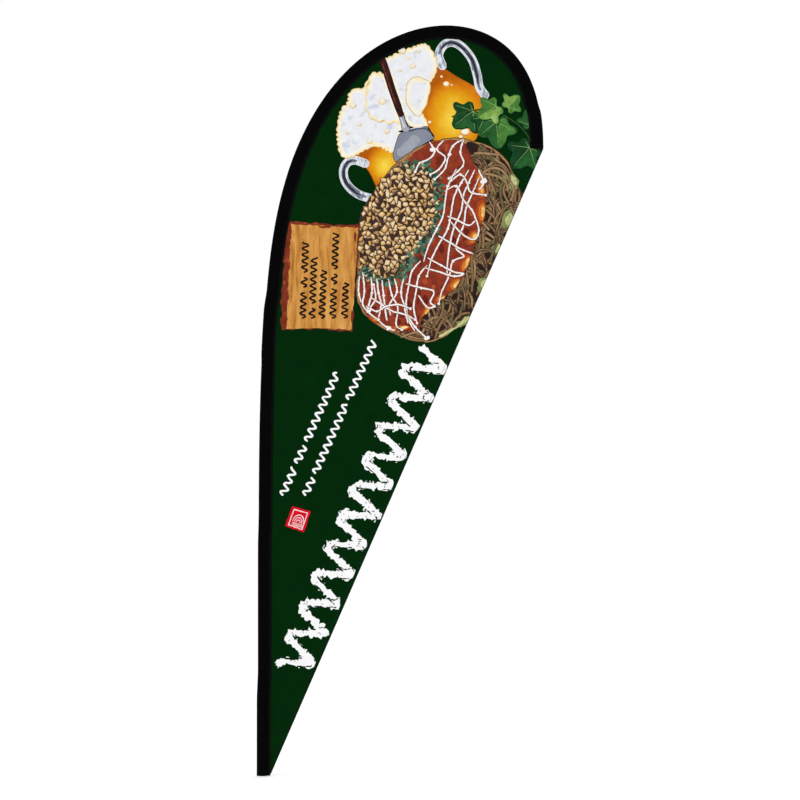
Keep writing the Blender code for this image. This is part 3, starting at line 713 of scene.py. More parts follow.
def draw_foam(page):
    """Froth with round lobes, cream at its edges, and the glass that it fills."""
    lower = [
        (293, 1680), (262, 1680), (252, 1650), (214, 1640), (206, 1612), (189, 1590), (181, 1544),
        (188, 1490), (212, 1480), (248, 1499), (280, 1507), (316, 1493), (334, 1530), (336, 1562),
        (324, 1600), (305, 1650),
    ]
    upper = [
        (290, 1711), (302, 1719), (340, 1736), (378, 1750), (394, 1751), (406, 1738), (419, 1710),
        (418, 1686), (406, 1664), (388, 1640), (380, 1600), (398, 1556), (368, 1552), (346, 1562),
        (332, 1600), (314, 1652),
    ]
    glass = [(356, 1668), (402, 1662), (396, 1618), (380, 1582), (360, 1592), (346, 1622)]
    for outline, seed in ((lower, 1.3), (upper, 6.1)):
        edge = scalloped(outline, 13.0, 4.2, seed)
        page.lined("foam_edge", edge, 0.9, "foam_line")
        page.uneven("foam_cream", swollen(edge, -3.0), 2.6, 9.0, seed)
        page.uneven("foam", swollen(spline(outline, step=3.5), -9.5), 5.0, 13.0, seed + 2)
    page.lined("foam_cream", rough(spline(glass, step=4), 3.0, 12.0, 9.4), 1.6, "foam_line")
    page.uneven("foam", swollen(spline(glass, step=4), -10.0), 3.0, 12.0, 3.4)
    fold = [
        (258, 1668), (249, 1652), (254, 1640), (248, 1626), (252, 1612), (247, 1600), (256, 1590),
        (258, 1578), (270, 1574), (280, 1567), (292, 1570), (304, 1563), (318, 1568), (332, 1562),
    ]
    path = spline(fold, closed=False, step=3)
    page.uneven("foam_line", band(path + [0.8, -2.2], 2.4), 1.2, 6.0, 5.5)
    page.uneven("foam_edge", band(path, 5.2), 2.6, 8.0, 2.5)
    spots = (
        (218, 1606, 9), (288, 1616, 10), (336, 1736, 9), (258, 1520, 7), (362, 1700, 7), (300, 1544, 7),
        (234, 1560, 5), (352, 1720, 5), (376, 1736, 5), (330, 1690, 5), (206, 1540, 5),
    )
    for x, z, size in spots:
        page.uneven("foam_line", round_shape(x + 0.6, z - 1.0, size, size * 0.82, 0.2, 16), 1.6, 6.0, x)
        page.uneven("foam_edge", round_shape(x, z, size * 0.94, size * 0.78, 0.2, 16), 1.6, 6.0, x)
        page.uneven("foam", round_shape(x + 0.6, z + 0.9, size * 0.55, size * 0.42, 0.2, 12), 1.2, 5.0, z)


def draw_spatula(page):
    """A steel blade, its neck and its wooden handle."""
    blade = [
        (330, 1535), (347, 1545), (372, 1551), (396, 1554), (405, 1542), (413, 1529), (398, 1519),
        (380, 1508), (356, 1490), (338, 1475), (323, 1470), (316, 1483), (318, 1500), (324, 1520),
    ]
    shape = spline(blade, step=5)
    page.lined("steel_grey", shape, 1.4)
    page.uneven("steel_pale", round_shape(352, 1508, 34, 13, 0.75, 40), 6.0, 14.0, 4.1)
    shade = stroke([(352, 1543), (372, 1549), (393, 1550), (402, 1540)], 4.5, ends=0.3)
    page.uneven("steel_dark", shade, 1.2, 6.0, 9.3)
    page.uneven("outline", stroke([(398, 1552), (405, 1541), (412, 1530)], 3.2, ends=0.5), 0.8, 3.0, 2.0)
    page.add("foam", stroke([(352, 1548), (370, 1552), (388, 1554)], 1.8, ends=0.2))
    rim = stroke([(328, 1542), (340, 1545), (352, 1552), (362, 1553)], 5.0, ends=0.5)
    page.uneven("outline", rim, 1.0, 4.0, 6.0)
    page.lined("steel_pale", band([(333, 1586), (338, 1570), (345, 1550)], [14, 12, 18]), 1.0)
    page.add("steel_light", band([(331, 1582), (337, 1566), (342, 1554)], [3, 3, 4]))
    page.add("shadow_grey", band([(340, 1584), (344, 1570), (351, 1553)], [3, 3, 3]))
    handle = [(285, 1727), (292, 1706), (302, 1676), (312, 1644), (324, 1610), (333, 1584)]
    page.lined("handle_wood", stroke(handle, 15.5, ends=0.8), 1.0)
    page.uneven("handle_light", band(beside(handle[1:-1], -3.0), 2.2), 1.2, 9.0, 3.0)
    page.uneven("outline", band(beside(handle[2:], 4.0), 2.4), 1.2, 9.0, 7.0)
    page.add("outline", round_shape(326, 1594, 5, 3.4, 0.4))


def draw_pancake(page):
    """The pancake's edge, its dark sauce, and the egg along the sauce's rim."""
    outline = [
        (448, 1526), (494, 1522), (540, 1509), (576, 1485), (600, 1450), (613, 1412), (626, 1380),
        (590, 1290), (540, 1190), (506, 1108), (468, 1074), (434, 1050), (398, 1038), (356, 1046),
        (318, 1058), (256, 1096), (230, 1140), (231, 1216), (236, 1330), (276, 1410), (320, 1464),
        (382, 1508),
    ]
    edge = rough(spline(outline, step=7), 3.0, 16.0, 2.2)
    page.lined("pancake_edge", edge, 1.5, "dark_line")
    sauce = [
        (448, 1522), (494, 1512), (504, 1484), (520, 1440), (540, 1404), (538, 1352), (526, 1316),
        (514, 1274), (500, 1232), (476, 1180), (440, 1146), (398, 1118), (380, 1090), (384, 1062),
        (356, 1060), (304, 1074), (256, 1100), (234, 1142), (236, 1220), (300, 1300), (330, 1440),
        (384, 1506),
    ]
    page.uneven("sauce", spline(sauce, step=6), 3.5, 14.0, 5.2)
    chance = random.Random(31)
    patches = 46
    tones = ("sauce_dark", "sauce_bright", "sauce_dark")
    for number in range(patches):
        x, z = chance.choice((
            (chance.uniform(430, 528), chance.uniform(1230, 1510)),
            (chance.uniform(250, 430), chance.uniform(1066, 1190)),
        ))
        if not inside(counterclockwise(spline(sauce, step=20)), np.array([[x, z]]))[0]:
            continue
        size = chance.uniform(5, 13)
        patch = round_shape(x, z, size, size * chance.uniform(0.35, 0.7), chance.uniform(0.9, 1.9), 16)
        page.uneven(tones[number % 3], patch, size * 0.4, 6.0, number)
    for x, z, wide, tall, lean in (
        (522, 1436, 7, 12, -0.5), (524, 1404, 8, 20, 0.1), (526, 1350, 10, 26, -0.1),
        (506, 1290, 10, 17, -0.5), (488, 1226, 8, 22, -0.4), (462, 1176, 10, 18, -0.7),
        (428, 1142, 7, 14, -1.0), (392, 1106, 7, 24, -0.4), (330, 1072, 22, 6, 0.1),
        (268, 1094, 12, 6, -0.6),
    ):
        brown = round_shape(x - 1, z, wide * 1.25, tall * 1.15, lean, 26)
        orange = round_shape(x + wide * 0.2, z, wide * 0.85, tall * 0.85, lean, 24)
        yellow = round_shape(x + wide * 0.45, z + 1, wide * 0.45, tall * 0.55, lean, 20)
        page.uneven("egg_brown", brown, 4.0, 9.0, x)
        page.uneven("egg_orange", orange, 3.4, 8.0, x + 1)
        page.uneven("egg_yellow", yellow, 2.6, 5.0, z)


def draw_noodles(page):
    """Strands that wind about, each with a dark line round it, over a dark ground."""
    outline = [
        (492, 1518), (540, 1505), (574, 1481), (598, 1446), (611, 1410), (626, 1380), (590, 1290),
        (540, 1190), (504, 1110), (466, 1076), (434, 1053), (398, 1042), (380, 1062), (384, 1096),
        (434, 1140), (474, 1178), (498, 1230), (512, 1274), (526, 1316), (536, 1352), (538, 1404),
        (522, 1444), (500, 1486),
    ]
    field = counterclockwise(rough(spline(outline, step=6), 3.0, 12.0, 8.8))
    page.add("noodle_gap", field)
    low, high = field.min(0), field.max(0)
    chance = random.Random(11)
    strands, before_leaves, leaf_every = 165, 120, 8
    tones = ("noodle_tan", "noodle_brown", "noodle_light", "noodle_tan", "noodle_olive", "noodle_brown")
    leaves = (
        (598, 1424, 22, 16, -0.9), (590, 1330, 16, 26, -0.35), (562, 1262, 10, 18, -0.4),
        (530, 1176, 12, 18, -0.5), (484, 1088, 20, 9, 0.7),
    )
    laid = 0
    while laid < strands:
        number, rest = divmod(laid - before_leaves, leaf_every)
        if rest == 0 and 0 <= number < len(leaves):
            x, z, wide, tall, lean = leaves[number]
            page.lined("cabbage", rough(round_shape(x, z, wide, tall, lean, 24), 7.0, 10.0, z), 1.0)
            lit = round_shape(x + 3, z + 2, wide * 0.6, tall * 0.55, lean, 18)
            page.uneven("cabbage_light", lit, 4.0, 6.0, x)
            laid += 1
            continue
        at = np.array([chance.uniform(low[0], high[0]), chance.uniform(low[1], high[1])])
        angle = chance.choice((1.9, 1.3, 0.5, 2.4, 1.6)) + chance.uniform(-0.5, 0.5)
        bend, swing = chance.uniform(-0.15, 0.15), chance.uniform(0.0, 0.2)
        rate = chance.uniform(0.25, 0.6)
        path = [at]
        for step in range(chance.randint(7, 14)):
            angle += bend + swing * math.sin(step * rate)
            path.append(path[-1] + 7.0 * heading(angle))
        path = np.array(path)
        kept = inside(field, path)
        last = len(path) if kept.all() else int(np.argmin(kept))
        if last < 4:
            continue
        page.add("noodle_gap", band(path[:last], 7.4))
        page.add(tones[laid % len(tones)], band(path[:last], 5.2))
        if laid % 2:
            page.add("noodle_light", band(path[1 : last - 1] + [-0.7, 0.7], 1.5))
        laid += 1
    for number, path in enumerate((
        [(316, 1062), (338, 1052), (362, 1044), (390, 1041)],
        [(324, 1071), (344, 1062), (366, 1054), (384, 1050)],
        [(334, 1050), (350, 1056), (372, 1062), (388, 1058)],
    )):
        page.add("noodle_gap", stroke(path, 7.4, ends=0.6))
        page.add(tones[number], stroke(path, 4.8, ends=0.6))
    leaf = stroke([(424, 1051), (446, 1063), (470, 1077), (496, 1098)], 6.0, ends=0.4)
    page.uneven("cabbage_light", leaf, 2.6, 8.0, 6.2)


def draw_chips(page):
    """The topping: small cut pieces, each with a line, a lit top and a shaded side, over a dark ground."""
    field = counterclockwise(spline([
        (320, 1458), (352, 1468), (386, 1466), (414, 1436), (424, 1380), (416, 1318), (394, 1288),
        (374, 1258), (338, 1216), (308, 1192), (274, 1180), (238, 1214), (236, 1336), (276, 1408),
    ], step=6))
    page.uneven("chip_gap", field, 3.0, 9.0, 4.4)
    chance = random.Random(5)
    spacing = 14.6
    row = 0
    for z in np.arange(1186, 1466, spacing * 0.78):
        row += 1
        for x in np.arange(236, 424, spacing):
            at = np.array([x + (row % 2) * spacing / 2 + chance.uniform(-4, 4), z + chance.uniform(-4, 4)])
            long, wide = chance.uniform(8, 13.5), chance.uniform(5.5, 8.5)
            lean = chance.uniform(0, math.pi)
            corners = chance.choice((3, 4, 4, 5))
            tone = chance.choice(("chip_tan", "chip_tan", "chip_pale", "chip_gold", "chip_brown"))
            first = chance.uniform(0, 6.28)
            steps = [k + chance.uniform(-0.32, 0.32) for k in range(corners)]
            turns = [first + step * 2 * math.pi / corners for step in steps]
            if not inside(field, at[None, :])[0]:
                continue
            shape = turned([(long * math.cos(t), wide * math.sin(t)) for t in turns], lean)
            page.lined("chip_shade", rounded(at + shape), 1.6, "chip_line")
            page.add(tone, rounded(at + np.array([-0.6, 0.9]) + shape * 0.86))
            if corners > 3:
                page.add("chip_light", rounded(at + np.array([-1.4, 2.0]) + shape * 0.42))


def rounded(corners):
    """A polygon with its corners cut once."""
    out = []
    for a, b in zip(corners, np.roll(corners, -1, 0)):
        out += [a * 0.9 + b * 0.1, a * 0.1 + b * 0.9]
    return counterclockwise(np.array(out))


def draw_flakes(page):
    """Green flakes along the edge of the topping."""
    path = spline([
        (352, 1462), (392, 1462), (412, 1440), (424, 1400), (426, 1350), (416, 1308), (396, 1282),
        (372, 1250), (344, 1216), (330, 1192), (300, 1182), (264, 1190), (238, 1210),
    ], closed=False, step=7)
    chance = random.Random(21)
    tones = ("flake_teal", "flake_green", "flake_dark")
    each, specks = 4, 34
    for i, (x, z) in enumerate(path):
        for k in range(each):
            at = (x + chance.uniform(-12, 13), z + chance.uniform(-11, 11))
            size = chance.uniform(3.0, 9.0)
            shape = round_shape(*at, size, size * chance.uniform(0.3, 0.6), chance.uniform(0, 3.1), 9)
            page.uneven(tones[(i + k) % 3], shape, size * 0.5, 3.0, i + k)
    for i in range(specks):
        x, z = chance.uniform(400, 500), chance.uniform(1240, 1480)
        page.uneven("flake_green", round_shape(x, z, 2.6, 1.6, chance.uniform(0, 3), 7), 1.2, 2.0, i)


def draw_lattice(page):
    """The white sauce: thin lines that run down the pancake and a few that loop across."""
    down = [
        [(402, 1518), (414, 1496), (402, 1478), (378, 1466), (368, 1446)],
        [(436, 1522), (420, 1500), (440, 1480), (424, 1452), (404, 1440)],
        [(482, 1524), (458, 1508), (446, 1478), (438, 1452), (414, 1428)],
        [(484, 1524), (476, 1494), (484, 1466), (466, 1444), (448, 1430)],
        [(466, 1452), (446, 1412), (440, 1380), (434, 1340), (420, 1310), (400, 1270), (388, 1232)],
        [
            (496, 1450), (478, 1420), (462, 1390), (454, 1350), (446, 1310), (424, 1272), (406, 1234),
            (396, 1196),
        ],
        [
            (510, 1450), (496, 1420), (484, 1392), (478, 1352), (462, 1316), (452, 1280), (446, 1236),
            (444, 1200),
        ],
        [
            (520, 1430), (506, 1398), (490, 1360), (484, 1320), (470, 1284), (466, 1262), (484, 1244),
            (458, 1232), (450, 1200), (432, 1160), (424, 1130),
        ],
        [(380, 1232), (360, 1208), (352, 1172), (346, 1130), (352, 1092), (366, 1066)],
        [(396, 1222), (376, 1196), (370, 1160), (364, 1122), (372, 1084)],
        [(340, 1190), (334, 1158), (342, 1122), (350, 1084)],
        [(318, 1190), (324, 1158), (306, 1128), (308, 1104)],
        [(288, 1186), (292, 1150), (296, 1116), (300, 1090)],
        [(262, 1192), (264, 1156), (256, 1124), (262, 1100)],
        [(234, 1196), (233, 1152), (250, 1118), (272, 1140), (268, 1176)],
        [(242, 1206), (246, 1160), (242, 1128), (262, 1104), (280, 1092)],
        [(276, 1190), (280, 1156), (286, 1130), (280, 1096)],
        [(304, 1188), (312, 1150), (326, 1120), (322, 1080), (336, 1068)],
    ]
    across = [
        [(454, 1424), (476, 1440), (492, 1420), (500, 1398), (536, 1390)],
        [
            (440, 1400), (466, 1412), (484, 1378), (506, 1350), (520, 1306), (508, 1284), (480, 1298),
            (450, 1330),
        ],
        [(424, 1292), (452, 1276), (476, 1262), (506, 1250)],
        [(398, 1240), (430, 1222), (462, 1206), (484, 1202), (462, 1196), (420, 1208), (392, 1216)],
        [(346, 1178), (382, 1168), (412, 1160), (404, 1134), (414, 1124), (396, 1122), (376, 1150)],
        [(264, 1144), (288, 1128), (314, 1112), (344, 1104), (368, 1092)],
        [(520, 1450), (532, 1420), (520, 1404)],
        [(250, 1124), (276, 1112), (298, 1124), (330, 1128), (356, 1118)],
        [(446, 1340), (470, 1330), (496, 1318), (512, 1330)],
        [(350, 1100), (368, 1074), (384, 1058), (398, 1047)],
        [(282, 1088), (298, 1075), (318, 1066)],
    ]
    for number, path in enumerate(down + across):
        line = stroke(np.array(path) + [0.3, -0.3], 5.9, step=4, ends=0.6)
        page.uneven("cream_line", line, 1.2, 5.0, number)
        page.uneven("cream", stroke(path, 3.7, step=3.5, ends=0.6), 1.3, 4.0, number + 40)
        for x, z in path[1::3]:
            page.uneven("cream", round_shape(x, z, 3.6, 2.8, x, 9), 1.4, 3.0, z)
    drops = (
        (410, 1500, 7), (532, 1424, 9), (450, 1488, 5), (396, 1048, 7), (304, 1072, 6), (256, 1112, 6),
    )
    for x, z, size in drops:
        page.uneven("cream", round_shape(x, z, size, size * 0.7, 0.4), 2.2, 5.0, x)


def ivy_leaf(x, z, size, angle):
    """A leaf of five blunt lobes with its stalk at (x, z): its outline, its lit half, and its veins' ends."""
    half = [
        (0.00, 0.02), (-0.10, 0.10), (-0.18, 0.26), (-0.10, 0.42), (0.06, 0.44), (0.17, 0.50),
        (0.27, 0.68), (0.42, 0.74), (0.52, 0.58), (0.53, 0.41), (0.61, 0.34), (0.78, 0.27),
        (0.94, 0.12), (0.99, 0.0),
    ]
    whole = np.array(half + [(u, -v * 0.94) for u, v in reversed(half[:-1])])
    lit = np.array(half + [(0.6, -0.02), (0.3, 0.02)])
    tips = np.array([(0.86, 0.0), (0.38, 0.60), (0.38, -0.56), (-0.08, 0.30), (-0.08, -0.28)])
    whole, lit, tips = (turned(points * size, angle) for points in (whole, lit, tips))
    return spline(whole, step=2.6) + [x, z], spline(lit, step=2.6) + [x, z], tips + [x, z]


def draw_ivy(page):
    """A spray of ivy: dark leaves, each with one half lit and fine veins."""
    stem = [
        (455, 1579), (496, 1592), (535, 1596), (574, 1585), (616, 1557), (640, 1527), (645, 1500),
        (654, 1474),
    ]
    leaves = (
        (506, 1592, 62, 3.8, "leaf_deep", "leaf_dark"), (534, 1578, 42, 4.3, "leaf_deep", "leaf_dark"),
        (562, 1566, 66, 4.8, "leaf_dark", "leaf_mid"), (590, 1600, 40, 0.8, "leaf_mid", "leaf_bright"),
        (562, 1604, 52, 3.7, "leaf_mid", "leaf_bright"),
        (646, 1556, 46, 1.75, "leaf_deep", "leaf_dark"), (642, 1504, 66, 4.0, "leaf_deep", "leaf_dark"),
    )
    page.add("leaf_shadow", stroke(np.array(stem) + [1.0, -1.2], 3.6, ends=0.6))
    page.add("stem", stroke(stem, 2.4, ends=0.6))
    for number, (x, z, size, angle, dark, light) in enumerate(leaves):
        outline, lit, tips = ivy_leaf(x, z, size, angle)
        page.add("leaf_shadow", rough(swollen(outline, 0.9), 1.6, 9.0, number) + [1.0, -1.2])
        page.uneven(dark, outline, 1.6, 9.0, number)
        centre = lit.mean(0)
        page.uneven(light, centre + (lit - centre) * 0.86, 3.0, 7.0, number * 2.3)
        for tip in tips:
            page.add("leaf_vein", band([(x, z), tip], [1.4, 0.5]))
    page.add("stem", stroke(stem[:3], 2.0, ends=0.6))


def edged(corners, step=5.0):
    """A closed outline with straight sides, with a point about every step."""
    out = []
    for a, b in zip(corners, list(corners[1:]) + [corners[0]]):
        a, b = np.array(a, float), np.array(b, float)
        count = max(1, round(float(np.linalg.norm(b - a)) / step))
        out += [a + (b - a) * k / count for k in range(count)]
    return np.array(out)


def draw_board(page):
    """A wooden board with rows of plain wavy lines."""
    border = edged([
        (60, 1329), (148, 1322), (233, 1318), (227, 1210), (217, 1064), (130, 1070), (46, 1066),
        (51, 1190),
    ])
    page.lined("board_bark", rough(border, 5.0, 15.0, 3.3), 1.0, "dark_line")
    for x, z in ((55, 1236), (51, 1134)):
        page.uneven("board_bark", round_shape(x, z, 7, 9, 0, 14), 2.0, 6.0, z)
    face = edged([
        (71, 1321), (150, 1316), (231, 1312), (225, 1210), (215, 1067), (130, 1072), (59, 1069),
        (64, 1190),
    ])
    page.uneven("board", face, 3.0, 9.0, 5.9)
    chips = (
        (69, 1300, 3, 16), (66, 1222, 3, 10), (62, 1150, 3, 14), (224, 1290, 3, 12), (216, 1100, 3, 16),
        (150, 1314, 16, 2.6),
    )
    for x, z, wide, tall in chips:
        page.uneven("board_bark", round_shape(x, z, wide, tall, 0, 16), 2.0, 6.0, z)
    foot, height, length, lean = 1096, 7.0, 15.0, 0.04
    # Each row's x, and where each of its waves starts and ends.
    rows = (
        (98, ((foot, 1158), (1170, 1194), (1206, 1278))),
        (120, ((foot, 1120), (1132, 1242))),
        (144, ((foot, 1210),)),
        (170, ((foot, 1166), (1178, 1202), (1214, 1300))),
        (198, ((foot, 1180),)),
    )
    for x, runs in rows:
        for low, high in runs:
            places = np.arange(low, high, 1.6)
            wave = x + height * np.sin((places - low) * 2 * math.pi / length) + (places - foot) * lean
            page.uneven("ink_black", band(np.stack([wave, places], 1), 4.6), 1.2, 4.0, x + low)


def draw_brush_lines(page):
    """Two rows of small white waves that climb beside the free edge, in place of small lettering."""
    height, length, gap = 7.5, 21.0, 14
    # Each row's start, a point that it heads for, and the lengths of its waves.
    rows = (
        ((50, 672), (202, 1012), (70, 44, 178)),
        ((104, 672), (268, 1036), (44, 180, 152)),
    )
    for start, aim, runs in rows:
        way = unit(np.array([aim]) - start)
        at = 0.0
        for run in runs:
            along = np.arange(at, at + run, 1.6)
            swing = height * np.sin((along - at) * 2 * math.pi / length)
            path = start + way * along[:, None] + left_of(way) * swing[:, None]
            page.uneven("white", band(path, 5.0), 1.2, 4.0, at + start[0])
            at += run + gap


def draw_seal(page):
    """A red square stamp with nested arcs over two small waves."""
    rim = [(77, 639), (111, 629), (97, 588), (63, 600)]
    field = [(78.4, 636), (108.6, 627.4), (95.6, 590.4), (65.4, 601.4)]
    page.uneven("seal_red", edged([(74, 645), (118, 632), (101, 582), (56, 598)], 4.0), 2.4, 5.0, 1.7)
    page.uneven("seal_white", edged(rim, 3.0), 0.8, 3.0, 0.7)
    page.uneven("seal_red", edged(field, 3.0), 0.8, 3.0, 2.7)
    ahead = heading(-0.29)
    upward = np.array([-ahead[1], ahead[0]])
    base = np.array([87.0, 606.0])
    turn = np.linspace(0, math.pi, 12)[:, None]
    for reach in (4.5, 9.0, 13.5):
        arc = base + reach * (np.cos(turn) * ahead + 1.35 * np.sin(turn) * upward)
        page.uneven("seal_white", band(arc, 1.9), 0.7, 3.0, reach)
    along = np.linspace(-13, 13, 22)[:, None]
    for drop in (4.0, 8.5):
        wave = base - drop * upward + along * ahead + 1.2 * np.sin(along * 0.9) * upward
        page.uneven("seal_white", band(wave, 1.7), 0.6, 3.0, drop)


def draw_brush_wave(page):
    """One bold dry-brush wave along the free edge, in place of large lettering."""
    inward, length, low, high = 59, 77.0, 250, 1083
    up = np.arange(low, high, 1.5)
    turn = (up - low) * 2 * math.pi / length
    reach = 32 + 6 * up / 1000
    swing = reach * np.cos(turn) * (1 - 0.18 * np.cos(3 * turn))
    centre = np.array([leech_point(u, inward + s) for u, s in zip(up, swing)])
    press = 0.5 + 0.5 * np.cos(2 * turn + 0.4)
    worn = wander_along(up, 60, 4.0, 1.0)
    from_end = np.minimum(up - low, high - up)
    width = (17 + 6 * press + 4 * worn) * (0.6 + 0.4 * np.clip(from_end / 12, 0, 1))
    edge = rough(rough(band(centre, width), 4.0, 7.0, 3.7), 8.0, 2.4, 1.9)
    page.uneven("white", edge, 4.0, 1.1, 5.1)
    chance = random.Random(1)
    slits, flecks = 150, 70
    for _ in range(slits):
        at = chance.randint(4, len(centre) - 12)
        shift = chance.choice((-1, 1)) * chance.uniform(0.40, 0.60) * width[at]
        way = centre[at + 3] - centre[at]
        side = np.array([-way[1], way[0]]) / np.linalg.norm(way)
        gap = centre[at : at + chance.randint(3, 7)] + side * shift
        page.uneven("green", band(gap, chance.uniform(1.8, 3.6)), 2.4, 1.6, at)
    for _ in range(flecks):
        at = chance.randint(4, len(centre) - 12)
        x, z = centre[at] + [chance.uniform(-5, 5), chance.uniform(-5, 5)]
        fleck = round_shape(x, z, chance.uniform(0.8, 2.6), 0.9, chance.uniform(0, 3), 10)
        page.uneven("green", fleck, 0.9, 1.4, at)


def inside(outline, points):
    """Which points lie in an outline, where loops that turn the other way don't count."""
    outline = counterclockwise(outline)
    x, z = points[:, 0], points[:, 1]
    count = np.zeros(len(points), int)
    for (x0, z0), (x1, z1) in zip(outline, np.roll(outline, -1, 0)):
        rising, falling = (z0 <= z) & (z1 > z), (z0 > z) & (z1 <= z)
        if rising.any() or falling.any():
            left = (x1 - x0) * (z - z0) - (x - x0) * (z1 - z0)
            count += (rising & (left > 0)).astype(int) - (falling & (left < 0)).astype(int)
    return count > 0


def sail_outline():
    """The sheet's edge in millimetres: along the seam, which covers it, and down the free edge."""
    s = np.linspace(0, POLE_LENGTH, 260)
    seam = np.stack(beside_pole(s, SAIL_TUCK - seam_edge(s)), 1)
    leech = np.linspace(LEECH_TOP, LEECH_BOTTOM, 200)
    return counterclockwise(np.concatenate([seam, leech[:-1]]) / MM)


def inks_at(points, outline, page):
    """The ink of the uppermost shape at each point, or None off the sheet."""
    inks = np.full(len(points), "green", dtype=object)
    order = np.argsort(points[:, 0], kind="stable")
    across, upward = points[order, 0], points[order, 1]
    for name, shape in page.shapes:
        (left, bottom), (right, top) = shape.min(0), shape.max(0)
        first, last = np.searchsorted(across, (left, right))
        level = (upward[first:last] >= bottom) & (upward[first:last] <= top)
        near = order[first:last][level]
        if len(near):
            inks[near[inside(shape, points[near])]] = name
    inks[~inside(outline, points)] = None
    return inks


def triangulate(points, edges):
    """Points and triangles that fill the sheet and keep the edges."""
    made = geometry.delaunay_2d_cdt([Vector(p) for p in points], edges, [], 0, 0.001, False)
    return np.array([tuple(p) for p in made[0]]), np.array([f for f in made[2] if len(f) == 3])


def divide(outline, page):
    """Cuts the sheet along every visible edge of the print: its points, its triangles and each one's ink."""
    points = [tuple(p) for p in outline]
    edges = [(i, (i + 1) % len(points)) for i in range(len(points))]
    low, high = outline.min(0), outline.max(0)
    for _, shape in page.shapes:
        if (shape.max(0) < low).any() or (shape.min(0) > high).any():
            continue
        first = len(points)
        points += [tuple(p) for p in shape]
        edges += [(first + i, first + (i + 1) % len(shape)) for i in range(len(shape))]
    flat, triangles = triangulate(points, edges)
    inks = inks_at(flat[triangles].mean(1), outline, page)

    # Only the edges that part two inks are kept, so nothing hidden under a shape divides the sheet.
    numbers = {name: i for i, name in enumerate(sorted({n for n in inks if n}), 1)}
    code = np.array([numbers.get(n, 0) for n in inks])
    sides = np.concatenate([triangles[:, ends] for ends in ([0, 1], [1, 2], [2, 0])])
    sides = np.sort(sides, axis=1)
    owners = np.tile(code, 3)
    order = np.lexsort((sides[:, 1], sides[:, 0]))
    sides, owners = sides[order], owners[order]
    pair = (sides[:-1] == sides[1:]).all(1)
    seen = pair & (owners[:-1] != owners[1:])
    lone = ~np.concatenate([pair, [False]]) & ~np.concatenate([[False], pair]) & (owners > 0)
    kept = np.concatenate([sides[:-1][seen], sides[lone]])
    used, renamed = np.unique(kept, return_inverse=True)
    kept = renamed.reshape(kept.shape)

    across = np.arange(low[0] + GRID_STEP / 2, high[0], GRID_STEP)
    upward = np.arange(low[1] + GRID_STEP / 2, high[1], GRID_STEP)
    grid = np.array([(x, z) for x in across for z in upward])
    grid = grid[inside(outline, grid)]
    edges = [tuple(int(i) for i in e) for e in kept]
    flat, triangles = triangulate(np.concatenate([flat[used], grid]), edges)
    inks = inks_at(flat[triangles].mean(1), outline, page)
    on = np.array([n is not None for n in inks])
    triangles, inks = triangles[on], inks[on]
    used, indices = np.unique(triangles, return_inverse=True)
    return flat[used], indices.reshape(triangles.shape), inks


# ---------------------------------------------------------------- pieces


def new_object(name, vertices, faces, materials, indices=None):
    mesh = bpy.data.meshes.new(name)
    mesh.from_pydata([tuple(v) for v in vertices], [], [tuple(int(i) for i in f) for f in faces])
    for material in materials:
        mesh.materials.append(material)
    if indices is not None:
        mesh.polygons.foreach_set("material_index", np.asarray(indices, np.int32))
    mesh.shade_smooth()
    made = bpy.data.objects.new(name, mesh)
    bpy.context.scene.collection.objects.link(made)
    return made


def grid_faces(rows, columns):
    """The faces of a sheet whose points run row by row."""
    return [
        (r * columns + i, r * columns + i + 1, (r + 1) * columns + i + 1, (r + 1) * columns + i)
        for r in range(rows - 1)
        for i in range(columns - 1)
    ]


def thicken(made, thickness, offset=0.0):
    solid = made.modifiers.new("cloth", "SOLIDIFY")
    solid.thickness = thickness
    solid.offset = offset


def make_sail():
    """The printed sheet. Returns it, its flat size and its area."""
    page = Print()
    for draw in (
        draw_beer, draw_mug_handles, draw_foam, draw_spatula, draw_pancake, draw_noodles, draw_chips,
        draw_flakes, draw_lattice, draw_ivy, draw_board, draw_brush_lines, draw_seal, draw_brush_wave,
    ):
        draw(page)
    outline = sail_outline()
    flat, triangles, inks = divide(outline, page)
    names = sorted(set(inks))
    numbers = {name: i for i, name in enumerate(names)}
    depth = drape(flat * MM)
    vertices = np.stack([flat[:, 0] * MM, depth, flat[:, 1] * MM], 1)
    corner = flat[triangles]
    first, second = corner[:, 1] - corner[:, 0], corner[:, 2] - corner[:, 0]
    clockwise = first[:, 0] * second[:, 1] - first[:, 1] * second[:, 0] < 0
    triangles[clockwise] = triangles[clockwise][:, ::-1]
    sail = new_object("sail_cloth", vertices, triangles, [ink(n) for n in names], [numbers[n] for n in inks])
    thicken(sail, SAIL_CLOTH)
    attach(sail, "flag")
    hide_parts("sail_panel")
    area = area_of(outline) * MM * MM
    low, high = outline.min(0) * MM, outline.max(0) * MM
    return sail, (float(high[0] - low[0]), float(high[1] - low[1])), area


